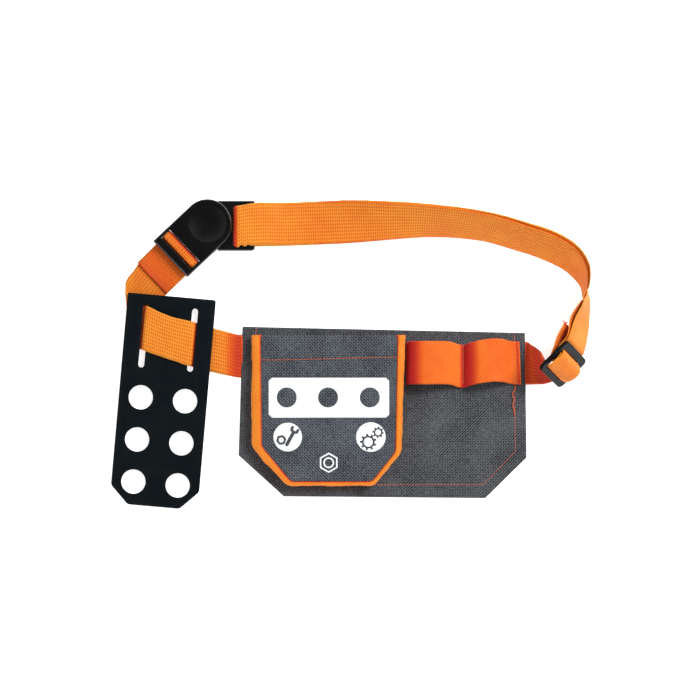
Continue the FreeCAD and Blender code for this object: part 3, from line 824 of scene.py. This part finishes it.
def hexagon_grid(outline, step):
    """Rows of points that fill an outline of top left, top right, right, two low corners and left."""
    top_left, top_right, right, low_right, low_left, left = [np.array(p, float) for p in outline]

    def side(low, bend, top, v):
        share = np.linalg.norm(bend - low) / (np.linalg.norm(bend - low) + np.linalg.norm(top - bend))
        if v < share:
            return low + (bend - low) * v / share
        return bend + (top - bend) * (v - share) / (1 - share)

    high = max(np.linalg.norm(top_left - left) + np.linalg.norm(left - low_left), 1)
    wide = np.linalg.norm(top_right - top_left)
    rows, columns = int(high / step), int(wide / step)
    share = np.linalg.norm(left - low_left) / high
    levels = sorted(set(np.linspace(0, 1, rows + 1)) | {share})
    grid = []
    for v in levels:
        a = side(low_left, left, top_left, v)
        b = side(low_right, right, top_right, v)
        grid.append([a + (b - a) * u for u in np.linspace(0, 1, columns + 1)])
    return np.array(grid)


def cloth_sheet(name, outline, height, thickness, step, material, mirrored=False):
    """A sheet with its upper face at height(x, y) and rounded cut edges. Mirrored turns the twill over."""
    grid = hexagon_grid(outline, step)
    rows, columns = grid.shape[:2]
    flat = grid.reshape(-1, 2)
    top = np.array([(x, y, height(x, y)) for x, y in flat])
    painted_edge_light_and_shade = np.array([edge_distance(outline, x, y) < 0.01 for x, y in flat])
    rounding = painted_edge_light_and_shade[:, None] * np.array([0, 0, thickness * CUT_EDGE])
    points = np.vstack([top - rounding, top - np.array([0, 0, thickness]) + rounding])
    count = rows * columns
    faces = []
    for i in range(rows - 1):
        for j in range(columns - 1):
            a, b = i * columns + j, (i + 1) * columns + j
            faces.append((a, a + 1, b + 1, b))
            faces.append((count + a, count + b, count + b + 1, count + a + 1))
    border = grid_border(rows, columns)
    for a, b in zip(border, border[1:] + border[:1]):
        faces.append((b, a, count + a, count + b))
    sign = -1 if mirrored else 1
    weave = np.column_stack([points[:, 0], points[:, 1] * sign, np.zeros(len(points))])
    return make_object(name, points, faces, material, weave)


def outline_area(outline):
    pairs = zip(outline, outline[1:] + outline[:1])
    return abs(sum(x0 * y1 - x1 * y0 for (x0, y0), (x1, y1) in pairs)) / 2 * MM * MM


def panel_height(x, y):
    """The front sheet's upper face: pressed flat at the edge, raised over the belt, softly waved."""
    inside = smoothstep(2, 22, edge_distance(PANEL_OUTLINE, x, y))
    over_belt = 1 - smoothstep(15, 25, abs(y - belt_middle(x)))
    wave = 0.9 * ripple(x, y, 55, 1.5) + 0.35 * ripple(x, y, 21, 4.0)
    seam = min(seam_distance(x, y), 6.0)
    dent = 0.3 * np.exp(-((seam / 1.3) ** 2))
    return 2.0 + 0.25 * inside + 0.9 * over_belt + (wave + 0.5) * 0.9 * inside - dent


def seam_distance(x, y):
    """Distance to the seam that runs down the right side and along the bottom."""
    best = 1e9
    for path in SEAMS:
        for (x0, y0), (x1, y1) in zip(path, path[1:]):
            run = (x1 - x0, y1 - y0)
            t = ((x - x0) * run[0] + (y - y0) * run[1]) / (run[0] ** 2 + run[1] ** 2)
            t = min(max(t, 0.0), 1.0)
            best = min(best, hypot(x - x0 - t * run[0], y - y0 - t * run[1]))
    return best


SEAMS = [
    [(-111.2, 75.7), (-112.4, 67.5)],
    [(116.4, 71), (117.0, 20), (117.6, -34.4), (89.1, -63.8), (-9, -63.8)],
]


def hem_height(x):
    """The y of the pocket's hem seam, which climbs a little to the right."""
    return HEM_Y + 0.2 + 2.4 * smoothstep(-110, 16, x)


def face_height(x, y):
    """The pocket front's upper face: crowned, with a double hem along its open top."""
    inside = smoothstep(0, 34, edge_distance(POCKET_FACE + [(13.5, 110), (-108.5, 110)], x, y))
    wave = 0.8 * ripple(x, y, 38, 11.0) + 0.3 * ripple(x, y, 16, 12.0)
    above = y - hem_height(x)
    hem = 0.45 * smoothstep(-0.6, 0.8, above) - 0.45 * np.exp(-((above / 0.9) ** 2))
    lip = -1.0 * smoothstep(64, 68.5, y)
    return FACE_EDGE_Z + FACE_CROWN * inside + wave * (0.35 + 0.65 * inside) + hem + lip


def along_path(path, height):
    """Points about a millimetre apart along a flat path, on a surface."""
    points = []
    for (x0, y0), (x1, y1) in zip(path, path[1:]):
        count = max(int(hypot(x1 - x0, y1 - y0)), 1)
        for i in range(count):
            x, y = x0 + (x1 - x0) * i / count, y0 + (y1 - y0) * i / count
            points.append((x, y, height(x, y)))
    x, y = path[-1]
    points.append((x, y, height(x, y)))
    return points


def build_panel():
    """Two canvas sheets, the belt between them, and the seam round them."""
    back = cloth_sheet("panel_back", PANEL_OUTLINE, lambda x, y: 1.0, 1.0, 3.0, CANVAS)
    place_piece(back, "canvas", "belt", "panel_back")
    outline_area(PANEL_OUTLINE)
    front = cloth_sheet("panel_front", PANEL_OUTLINE, panel_height, SHEET_THICK, 1.6, CANVAS)
    place_piece(front, "canvas", "belt", "panel_front")
    outline_area(PANEL_OUTLINE)
    rows = [along_path(path, panel_height) for path in SEAMS]
    place_piece(stitches("panel_outline_seam", rows), "thread", "belt", "panel_outline_seam")
    inside = [belt_edges(x) for x in (-89.5, 0, 89.5)]
    hidden = Strap(inside, seed=4.0, thickness=1.2)
    place_piece(hidden.piece("belt_behind_panel", 0, 2), "webbing", "belt", "belt_behind_panel")


def rounded(outline, radius, spacing):
    """An open outline with its inner corners rounded, as evenly spaced points."""
    path = [Vector(outline[0])]
    for before, corner, after in zip(outline, outline[1:], outline[2:]):
        path += corner_turn(before, corner, after, radius, 9)
    path.append(Vector(outline[-1]))
    points = np.array([tuple(p) for p in path])
    t = np.concatenate([[0.0], np.cumsum(np.linalg.norm(np.diff(points, axis=0), axis=1))])
    at = np.linspace(0, t[-1], int(t[-1] / spacing))
    return np.column_stack([np.interp(at, t, points[:, k]) for k in range(2)]), at


def build_pocket():
    """The canvas front with its hem, and the tape gusset that joins it to the panel."""
    face = cloth_sheet("pocket_front", POCKET_FACE, face_height, 1.1, 1.3, FRONT_CANVAS, mirrored=True)
    place_piece(face, "canvas", "pocket_front", "pocket_front")
    outline_area(POCKET_FACE)
    hem = []
    for x in np.linspace(-114.2, 18.0, 110):
        y = hem_height(x)
        fold = 1.1 * (1 - smoothstep(-110.5, -107.5, x)) + 1.1 * smoothstep(11.5, 14.5, x)
        drop = 1.1 * (1 - smoothstep(-114.6, -111.5, x)) + 1.1 * smoothstep(15.5, 18.6, x)
        hem.append((x, y, face_height(min(max(x, -108.0), 13.0), y) + 0.05 + fold - drop))
    place_piece(stitches("pocket_hem_seam", [hem]), "thread", "pocket_front", "pocket_hem_seam")

    inner, at = rounded(POCKET_FACE, 3.6, 1.1)
    outer, _ = rounded(POCKET_FOOT, 4.8, 1.1)
    t = np.linspace(0, 1, len(inner))
    outer = np.column_stack([np.interp(t, np.linspace(0, 1, len(outer)), outer[:, k]) for k in range(2)])
    out = outer - inner
    out /= np.linalg.norm(out, axis=1)[:, None]
    points, weave = [], []
    rings = 12
    for i, (a, b, n) in enumerate(zip(inner, outer, out)):
        s = at[i]
        pull = 1.5 * noise.noise(Vector((s / 17, 0.3, 20))) + 0.9 * noise.noise(Vector((s / 7, 4.0, 21)))
        top = face_height(a[0], a[1])
        ear = np.exp(-((min(s, at[-1] - s) / 2.2) ** 2))
        corners = [
            (a - n * (0.5 + 1.4 * ear), top - 1.3 + 1.2 * ear), (a + n * 0.7, top + 0.7 + 0.4 * ear),
            (b - n * (1.1 - pull * 0.25), top - 0.5), (b - n * (1.1 - pull * 0.6), 7.5), (b - n * 2.4, 3.0),
        ]
        for k in range(rings):
            f = k / (rings - 1) * (len(corners) - 1)
            j = min(int(f), len(corners) - 2)
            previous, following = max(j - 1, 0), min(j + 2, len(corners) - 1)
            u = f - j
            p0, p1, p2, p3 = [np.array([*corners[index][0], corners[index][1]])
                              for index in (previous, j, j + 1, following)]
            p = 0.5 * ((2 * p1) + (p2 - p0) * u + (2 * p0 - 5 * p1 + 4 * p2 - p3) * u**2
                       + (3 * p1 - p0 - 3 * p2 + p3) * u**3)
            crease = 0.5 * noise.noise(Vector((s / 5, k / 4, 30))) * sin(pi * k / (rings - 1))
            points.append((p[0] + n[0] * crease, p[1] + n[1] * crease, p[2]))
            # The rings nearest the pocket front, tucked under its edge, get painted shade.
            weave.append((k * 1.6, s, 1.1 * smoothstep(2.6, 0.4, k)))
    faces = []
    for i in range(len(inner) - 1):
        for k in range(rings - 1):
            a, b = i * rings + k, (i + 1) * rings + k
            faces.append((a, b, b + 1, a + 1))
    gusset = make_object("pocket_gusset", points, faces, GUSSET, weave)
    thick = gusset.modifiers.new("thick", "SOLIDIFY")
    thick.thickness = 1.0 * MM
    thick.offset = 0.0
    soft = gusset.modifiers.new("soft", "SUBSURF")
    soft.levels = soft.render_levels = 1
    bake_modifiers(gusset)
    blend_piece(gusset, "gusset_tape", ("belt", "pocket_front"), (-45, 0, 5.0), (-45, 0, 11.5),
                "pocket_gusset")


LOOP_PATH = [
    (20.8, 4.4), (21.8, 4.6), (24.9, 11.5), (32, 16.5), (45, 16.3), (58, 11.5), (66, 6.2), (69.5, 5.2),
    (72.5, 5.2), (75.5, 10.5), (83, 15.6), (95, 15.2), (106, 10.4), (112, 5.2), (115, 4.4), (120.6, 4.4),
]
# Painted shade on the loops' left flanks, in the valley between them and at the turned end.
LOOP_PAINTED_SHADE = [
    (21, 1, 9.5, 1.0), (71.5, 2.5, 8.5, 0.95), (45, 60, 16, 0.10), (95, 12, 60, 0.12), (118.6, 0.8, 0.8, 0.7),
]
LOOP_LOW_Y = 24.4


def build_loops():
    """One strip of tape, sewn down at three places to make two loops."""
    rows, at, _ = through(LOOP_PATH, 0.7)
    x, z = rows[:, 0], rows[:, 1]
    slope = np.gradient(rows, axis=0)
    slope /= np.linalg.norm(slope, axis=1)[:, None]
    across = np.linspace(-1, 1, 33)
    # tone is the painted shade along the tape.
    tone = painted_shade_along(x, LOOP_PAINTED_SHADE)
    points, weave = [], []
    for side in (1.0, -1.0):
        for i in range(len(x)):
            raised = smoothstep(4.0, 12.0, z[i])
            valley = np.exp(-(((x[i] - 70.5) / 9.0) ** 2))
            for v in across:
                edge = (1 - abs(v) ** 8) ** 0.5 if abs(v) < 1 else 0.0
                thick = 0.62 * edge * side
                lean = 0.045 * (1 - v) * WEB_WIDTH / 2 * smoothstep(100, 120, x[i])
                wave = 0.7 * ripple(x[i], v * 19, 16, 40.0) * raised
                lift = 2.2 * exp(-(((x[i] - 98) / 15) ** 2))
                y = LOOP_LOW_Y + WEB_WIDTH / 2 + v * WEB_WIDTH / 2 - 2.6 * valley + 0.9 * raised + lift
                out = thick + wave
                points.append((x[i] - slope[i, 1] * out + lean, y, z[i] + slope[i, 0] * out))
                weave.append((v * WEB_WIDTH / 2, at[i], tone[i]))
    n, w = len(x), len(across)
    faces = []
    for i in range(n - 1):
        for j in range(w - 1):
            a, b = i * w + j, (i + 1) * w + j
            faces.append((a, b, b + 1, a + 1))
            faces.append((n * w + a, n * w + a + 1, n * w + b + 1, n * w + b))
    border = grid_border(n, w)
    for a, b in zip(border, border[1:] + border[:1]):
        faces.append((a, b, n * w + b, n * w + a))
    strip = make_object("tool_loop_strip", points, faces, TAPE, weave)
    turn_outwards(strip.data, weld=0.02)
    place_piece(strip, "loop_tape", "belt", "tool_loop_strip")
    rows = []
    for x0, drift, z0 in ((70.6, 0.0, 5.75), (71.4, 0.0, 5.75), (117.6, 1.2, 5.1)):
        rows.append([(x0 + drift * f, LOOP_LOW_Y + 0.8 + 36.4 * f, z0) for f in np.linspace(0.02, 0.98, 30)])
    tacks = stitches("tool_loop_bar_tacks", rows, long=1.5, gap=0.25)
    place_piece(tacks, "thread", "belt", "tool_loop_bar_tacks")
    loose = []
    for i in range(90):
        f = i / 89
        x, y = 116.6 + 1.5 * sin(16 * f) * (1 - f) - 1.2 * sin(pi * f), 24 - 26 * f
        loose.append((x, y, panel_height(x, y) + (0.5 + 1.2 * sin(pi * f))))
    place_piece(tube("loose_thread_at_loops", loose, 0.42), "thread", "belt")


def tube(name, path, radius, sides=7):
    """A thread that follows points."""
    path = np.asarray(path, float)
    points, weave = [], []
    length = 0.0
    for i, p in enumerate(path):
        along = Vector(path[min(i + 1, len(path) - 1)] - path[max(i - 1, 0)]).normalized()
        side = along.cross(Vector((0, 0, 1))).normalized()
        up = side.cross(along)
        if i:
            length += float(np.linalg.norm(path[i] - path[i - 1]))
        for j in range(sides):
            a = 2 * pi * j / sides
            points.append(tuple(Vector(p) + side * (cos(a) * radius) + up * (sin(a) * radius)))
            weave.append((a * 0.3, length, 0))
    return make_object(name, points, thread_faces(0, len(path), sides), THREAD, weave)


# ---------------------------------------------------------------- print


def circle(x, y, r, count=64, turn=0.0):
    turns = [2 * pi * i / count + turn for i in range(count)]
    return [(x + r * cos(a), y + r * sin(a)) for a in turns]


def chamfered_box(x0, y0, x1, y1, cut):
    """A box whose four corners are cut off."""
    return [(x1 - cut, y1), (x0 + cut, y1), (x0, y1 - cut), (x0, y0 + cut), (x0 + cut, y0), (x1 - cut, y0),
            (x1, y0 + cut), (x1, y1 - cut)]


def gear(x, y, r, teeth, turn=0.0):
    points = []
    for i in range(teeth):
        for part, reach in ((0.0, 0.76), (0.22, 0.76), (0.30, 1.0), (0.62, 1.0), (0.70, 0.76)):
            a = 2 * pi * (i + part) / teeth + turn
            points.append((x + r * reach * cos(a), y + r * reach * sin(a)))
    return points


def spanner(x, y, long, heading):
    """An open-ended spanner with its jaw at the far end."""
    outline = [(-0.50, -0.08), (0.18, -0.08), (0.24, -0.19), (0.36, -0.23), (0.50, -0.19), (0.46, -0.09),
               (0.34, -0.08), (0.30, 0.0), (0.34, 0.08), (0.46, 0.09), (0.50, 0.19), (0.36, 0.23),
               (0.24, 0.19), (0.18, 0.08), (-0.50, 0.08), (-0.54, 0.0)]
    h = radians(heading)
    return [(x + long * (u * cos(h) - v * sin(h)), y + long * (u * sin(h) + v * cos(h))) for u, v in outline]


def filled(name, outlines, **settings):
    """A mesh that fills outlines, made as a flat curve. Outlines inside outlines are left open."""
    curve = bpy.data.curves.new(name, "CURVE")
    curve.dimensions = "2D"
    curve.fill_mode = "BOTH"
    for key, value in settings.items():
        setattr(curve, key, value)
    for outline in outlines:
        spline = curve.splines.new("POLY")
        spline.points.add(len(outline) - 1)
        for point, (x, y) in zip(spline.points, outline):
            point.co = (x * MM, y * MM, 0, 1)
        spline.use_cyclic_u = True
    flat = bpy.data.objects.new(name + "_outline", curve)
    bpy.context.collection.objects.link(flat)
    graph = bpy.context.evaluated_depsgraph_get()
    mesh = bpy.data.meshes.new_from_object(flat.evaluated_get(graph))
    bpy.data.objects.remove(flat)
    return mesh


def printed(name, outlines):
    """A thin layer of ink on the pocket front."""
    mesh = filled(name, outlines)
    work = bmesh.new()
    work.from_mesh(mesh)
    bmesh.ops.remove_doubles(work, verts=work.verts, dist=0.01 * MM)
    xs = [v.co.x for v in work.verts]
    ys = [v.co.y for v in work.verts]
    for across, low, high in ((Vector((1, 0, 0)), min(xs), max(xs)), (Vector((0, 1, 0)), min(ys), max(ys))):
        for place in np.arange(low + PRINT_STEP / 2, high, PRINT_STEP):
            origin = across * place
            geometry = work.verts[:] + work.edges[:] + work.faces[:]
            bmesh.ops.bisect_plane(work, geom=geometry, plane_co=origin, plane_no=across)
    bmesh.ops.triangulate(work, faces=work.faces)
    points = [(v.co.x / MM, v.co.y / MM) for v in work.verts]
    faces = [tuple(v.index for v in f.verts) for f in work.faces]
    work.free()
    bpy.data.meshes.remove(mesh)
    solid = [(x, y, face_height(x, y) + 0.10) for x, y in points]
    made = make_object(name, solid, faces, INK, [(x, y, 0) for x, y in points])
    if made.data.polygons[0].normal.z <= 0:
        made.data.flip_normals()
    thick = made.modifiers.new("thick", "SOLIDIFY")
    thick.thickness = 0.12 * MM
    thick.offset = -1.0
    bake_modifiers(made)
    return place_piece(made, "canvas", "pocket_front")


def build_print():
    """The panel with three dots, two round signs and a small nut."""
    dots = [circle(x, 13.7, 8.7) for x in (-84.4, -48.2, -11.6)]
    printed("print_band", [chamfered_box(-100.3, -4.0, 5.4, 31.0, 2.8)] + dots)
    nut = circle(-89.2, -23.6, 4.6, 6, radians(12))
    sign = [circle(-83.5, -21.0, 12.6), spanner(-80.4, -20.4, 18.0, 62), nut, circle(-89.2, -23.6, 2.3, 32)]
    printed("print_spanner_sign", sign)
    sign = [circle(-10.7, -21.0, 13.0), gear(-13.0, -25.4, 7.3, 9), circle(-13.0, -25.4, 4.1, 36),
            gear(-4.3, -16.9, 5.0, 8, 0.3), circle(-4.3, -16.9, 2.6, 32)]
    printed("print_gear_sign", sign)
    x, y = -47.6, -43.5
    hexagons = [circle(x, y, r, 6, radians(30)) for r in (9.0, 7.4)]
    printed("print_nut", hexagons + [circle(x, y, r, 40) for r in (4.8, 3.4)])


# ---------------------------------------------------------------- holder sheet


def flat_plate(name, outlines, thick, edge, material):
    """A flat sheet with holes and softened edges, round its own middle plane."""
    mesh = filled(name, outlines, extrude=(thick / 2 - edge) * MM, bevel_depth=edge * MM,
                  bevel_resolution=2, offset=-edge * MM)
    mesh.name = name
    mesh.materials.clear()
    mesh.materials.append(material)
    made = bpy.data.objects.new(name, mesh)
    bpy.context.collection.objects.link(made)
    turn_outwards(mesh, weld=0.01)
    return made


def round_corners(outline, radii):
    """A closed outline with each corner rounded."""
    points = []
    count = len(outline)
    for i, (corner, r) in enumerate(zip(outline, radii)):
        points += map(tuple, corner_turn(outline[i - 1], corner, outline[(i + 1) % count], r, 7))
    return points


def stadium(x, y0, y1, half, steps=12):
    points = []
    for i in range(steps + 1):
        a = pi * i / steps
        points.append((x + half * cos(a), y1 - half + half * sin(a)))
    for i in range(steps + 1):
        a = pi + pi * i / steps
        points.append((x + half * cos(a), y0 + half + half * sin(a)))
    return points


def build_holder():
    """The black sheet with two slots for the belt and six holes for tools."""
    outline = round_corners([(-39, 0), (39, 0), (39, -170), (23, -186), (-23, -186), (-39, -170)],
                            [1.2, 2.2, 2.4, 2.4, 2.4, 2.4])
    holes = [stadium(u, -64.8, -9.0, 2.65) for u in (-21.7, 21.5)]
    holes += [circle(u, -v, 10.7, 72) for v in (91.0, 128.3, 165.6) for u in (-19.6, 19.6)]
    plate = flat_plate("tool_holder_plate", [outline] + holes, 1.8, 0.28, SHEET)
    at = framed((*PLATE_TOP, 0), PLATE_TILT)
    low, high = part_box("tool_holder_plate")
    middle = (low[2] + high[2]) / 2 / MM
    for vertex in plate.data.vertices:
        u, v, z = vertex.co / MM
        p = at(u, v)
        vertex.co = Vector((p.x, p.y, middle + z)) * MM
    flat_shading(plate, 35)
    place_piece(plate, "black_sheet", "tool_holder", "tool_holder_plate")


def flat_shading(obj, angle):
    """Smooth faces with sharp edges where they turn by more than the angle."""
    smooth_shading(obj.data)
    work = bmesh.new()
    work.from_mesh(obj.data)
    for edge in work.edges:
        if len(edge.link_faces) == 2 and edge.calc_face_angle() > radians(angle):
            edge.smooth = False
    work.to_mesh(obj.data)
    work.free()


# ---------------------------------------------------------------- moulded parts


def box(x0, y0, x1, y1):
    return [(x0, y0), (x1, y0), (x1, y1), (x0, y1)]


def prism(outline, low, high, place, upper=None):
    """A closed prism, or a taper to another outline above, as a scratch object."""
    count = len(outline)
    points = [(x, y, low) for x, y in outline] + [(x, y, high) for x, y in upper or outline]
    points = [tuple(place(*p)) for p in points]
    faces = [tuple(range(count))[::-1], tuple(range(count, 2 * count))]
    faces += [(i, (i + 1) % count, count + (i + 1) % count, count + i) for i in range(count)]
    made = make_object("scratch", points, faces, BLACK)
    turn_outwards(made.data)
    return made


def moulded(name, adds, cuts, material, voxel=0.26):
    """Join and cut closed solids, then soften every edge as a mould does."""
    body = adds[0]
    body.name = name
    for other, operation in [(a, "UNION") for a in adds[1:]] + [(c, "DIFFERENCE") for c in cuts]:
        step = body.modifiers.new("step", "BOOLEAN")
        step.operation = operation
        step.solver = "EXACT"
        step.object = other
        bake_modifiers(body)
    discard(*adds[1:], *cuts)
    grid = body.modifiers.new("grid", "REMESH")
    grid.mode = "VOXEL"
    grid.voxel_size = voxel * MM
    grid.use_smooth_shade = True
    bake_modifiers(body)
    work = bmesh.new()
    work.from_mesh(body.data)
    for _ in range(3):
        bmesh.ops.smooth_vert(work, verts=work.verts, factor=0.5,
                              use_axis_x=True, use_axis_y=True, use_axis_z=True)
    work.to_mesh(body.data)
    work.free()
    body.data.materials.clear()
    body.data.materials.append(material)
    smooth_shading(body.data)
    return body


def cap_outline(reach, half, end, steps=40):
    """The cap from above: a round end and straight sides, in its own frame."""
    points = [(end, -half), (end, half)]
    for i in range(steps + 1):
        a = pi / 2 + pi * i / steps
        points.append((reach * cos(a), half * sin(a)))
    return points


def lens(origin, r, deep, top, steps=72, rings=16):
    """A closed lens that cuts a dish of radius r and the given depth below the height top."""
    ball = (r * r + deep * deep) / (2 * deep)
    points, faces = [], []
    for k in range(rings + 1):
        reach = r * 1.12 * (k + 0.4) / (rings + 0.4)
        z = top - deep + ball - (ball * ball - reach * reach) ** 0.5
        for i in range(steps):
            a = 2 * pi * i / steps
            points.append((origin[0] + reach * cos(a), origin[1] + reach * sin(a), z))
    for k in range(rings):
        for i in range(steps):
            j = (i + 1) % steps
            faces.append((k * steps + i, k * steps + j, (k + 1) * steps + j, (k + 1) * steps + i))
    lid = len(points)
    points += [(x, y, top + 4) for x, y, _ in points[rings * steps:(rings + 1) * steps]]
    for i in range(steps):
        j = (i + 1) % steps
        faces.append((rings * steps + i, rings * steps + j, lid + j, lid + i))
    faces.append(tuple(lid + i for i in range(steps)))
    faces.append(tuple(range(steps))[::-1])
    made = make_object("scratch", points, faces, BLACK)
    turn_outwards(made.data)
    return made


def build_cap():
    """The buckle's cap: round dished end, window, bars and socket."""
    at = framed((*STUD_AT, 0), CAP_HEADING)
    low, top = (corner[2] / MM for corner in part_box("buckle_cap"))

    def shape(outline, z0, z1, upper=None):
        return prism(outline, z0, z1, lambda u, v, z: at(u, v) + Vector((0, 0, z)), upper)

    adds = [
        shape(cap_outline(21.4, 21.8, 45.4), low, top - 1.3),
        shape(cap_outline(21.4, 21.8, 45.4), top - 1.4, top, cap_outline(20.4, 20.8, 43.6)),
    ]
    cuts = [
        shape(box(27.8, -19.2, 38.0, 19.2), low - 1, top + 1),
        shape(box(37.8, -19.7, 46.0, 19.7), low - 1, low + 1.4),
        shape(circle(0, 0, 5.1, 48), low - 1, 9.3),
        shape(circle(0, 0, 18.5, 72), low - 1, low + 1.2),
        lens(STUD_AT, 16.7, 1.8, top),
    ]
    cap = moulded("buckle_cap", adds, cuts, BLACK, voxel=0.3)
    place_piece(cap, "black_plastic", "buckle_cap", "buckle_cap")
    bar = round_corners(box(30.6, -20.9, 33.8, 20.9), [0.3] * 4)
    bar = moulded("buckle_cap_bar", [shape(bar, 7.2, 9.8)], [], BLACK)
    place_piece(bar, "black_plastic", "buckle_cap")


def build_base():
    """The buckle's base: a disc under the cap, a slot, an outer bar and the stud."""
    x, y = STUD_AT
    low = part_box("buckle_base")[0][2] / MM
    top = 6.0

    def at(u, v, z):
        return Vector((x + u, y + v, z))

    plate = round_corners(box(8, -23.2, 40.8, 20.8), [0.5, 3.4, 1.5, 0.5])
    upper = round_corners(box(8.9, -22.3, 40.0, 20.0), [0.5, 3.2, 1.4, 0.5])
    adds = [
        prism(circle(0, 0, 20.6, 80), low, top, at),
        prism(plate, low, top - 0.9, at),
        prism(plate, top - 1.0, top, at, upper),
        prism(circle(0, 0, 5.0, 48), top - 1, 9.0, at),
    ]
    cuts = [prism(box(21.9, -18.8, 24.3, 15.4), low - 1, top + 1, at)]
    base = moulded("buckle_base", adds, cuts, BLACK)
    place_piece(base, "black_plastic", "buckle_base", "buckle_base")


def build_slider():
    """The three-bar slider, held on edge by the webbing."""
    at = framed(SLIDER_AT, SLIDER_HEADING, SLIDER_LEAN, SLIDER_DIP)
    outline = round_corners(box(-17, -23.5, 17, 23.5), [6.0] * 4)
    adds = [prism(outline, -1.5, 1.5, at)]
    cuts = []
    for s0, s1 in ((-10.0, -2.2), (2.2, 11.4)):
        window = round_corners(box(s0, -19.0, s1, 19.0), [1.5] * 4)
        cuts.append(prism(window, -3, 3, at))
    slider = moulded("slider", adds, cuts, GREY)
    place_piece(slider, "grey_plastic", "slider", "slider")


# ---------------------------------------------------------------- stage


CAMERA_AT = (-28.9 * MM, 55.3 * MM, 1.0)
LENS = 57.98


def build_stage():
    """White table, soft light from the upper right, and a camera straight above."""
    size = 3000.0
    points = [(x, y, -0.3) for x, y in box(-size, -size, size, size)]
    ground = make_object("table", points, [(0, 1, 2, 3)], floor_material())

    world = bpy.data.worlds.new("studio")
    world.use_nodes = True
    tree = world.node_tree
    sky = tree.nodes["Background"]
    sky.inputs[1].default_value = 0.62
    ways = tree.nodes.new("ShaderNodeTexCoord")
    apart = tree.nodes.new("ShaderNodeSeparateXYZ")
    dark_above = tree.nodes.new("ShaderNodeMapRange")
    for index, value in ((1, 0.84), (2, 0.94), (3, 1.0), (4, 0.16)):
        dark_above.inputs[index].default_value = value
    tree.links.new(ways.outputs["Generated"], apart.inputs[0])
    tree.links.new(apart.outputs[2], dark_above.inputs[0])
    tree.links.new(dark_above.outputs[0], sky.inputs[0])
    bpy.context.scene.world = world
    lamps = (("key", (0.95, 0.84, 1.25), 0.7, 0.7, 36.0), ("low_fill", (-0.75, -1.05, 0.36), 1.3, 0.22, 9.0))
    for name, place, wide, high, power in lamps:
        lamp = bpy.data.lights.new(name, "AREA")
        lamp.shape = "RECTANGLE"
        lamp.size = wide
        lamp.size_y = high
        lamp.energy = power
        made = bpy.data.objects.new(name, lamp)
        made.location = place
        made.rotation_euler = (Vector((0, 0.05, 0)) - Vector(place)).to_track_quat("-Z", "Y").to_euler()
        bpy.context.collection.objects.link(made)

    view = bpy.data.cameras.new("camera")
    view.sensor_width = 36.0
    view.lens = LENS
    camera = bpy.data.objects.new("camera", view)
    camera.location = CAMERA_AT
    bpy.context.collection.objects.link(camera)
    bpy.context.scene.camera = camera
    bpy.context.scene.view_settings.view_transform = "Standard"


build_stage()
build_panel()
build_pocket()
build_print()
build_loops()
build_left_belt()
build_right_belt()
build_holder()
build_cap()
build_base()
build_slider()
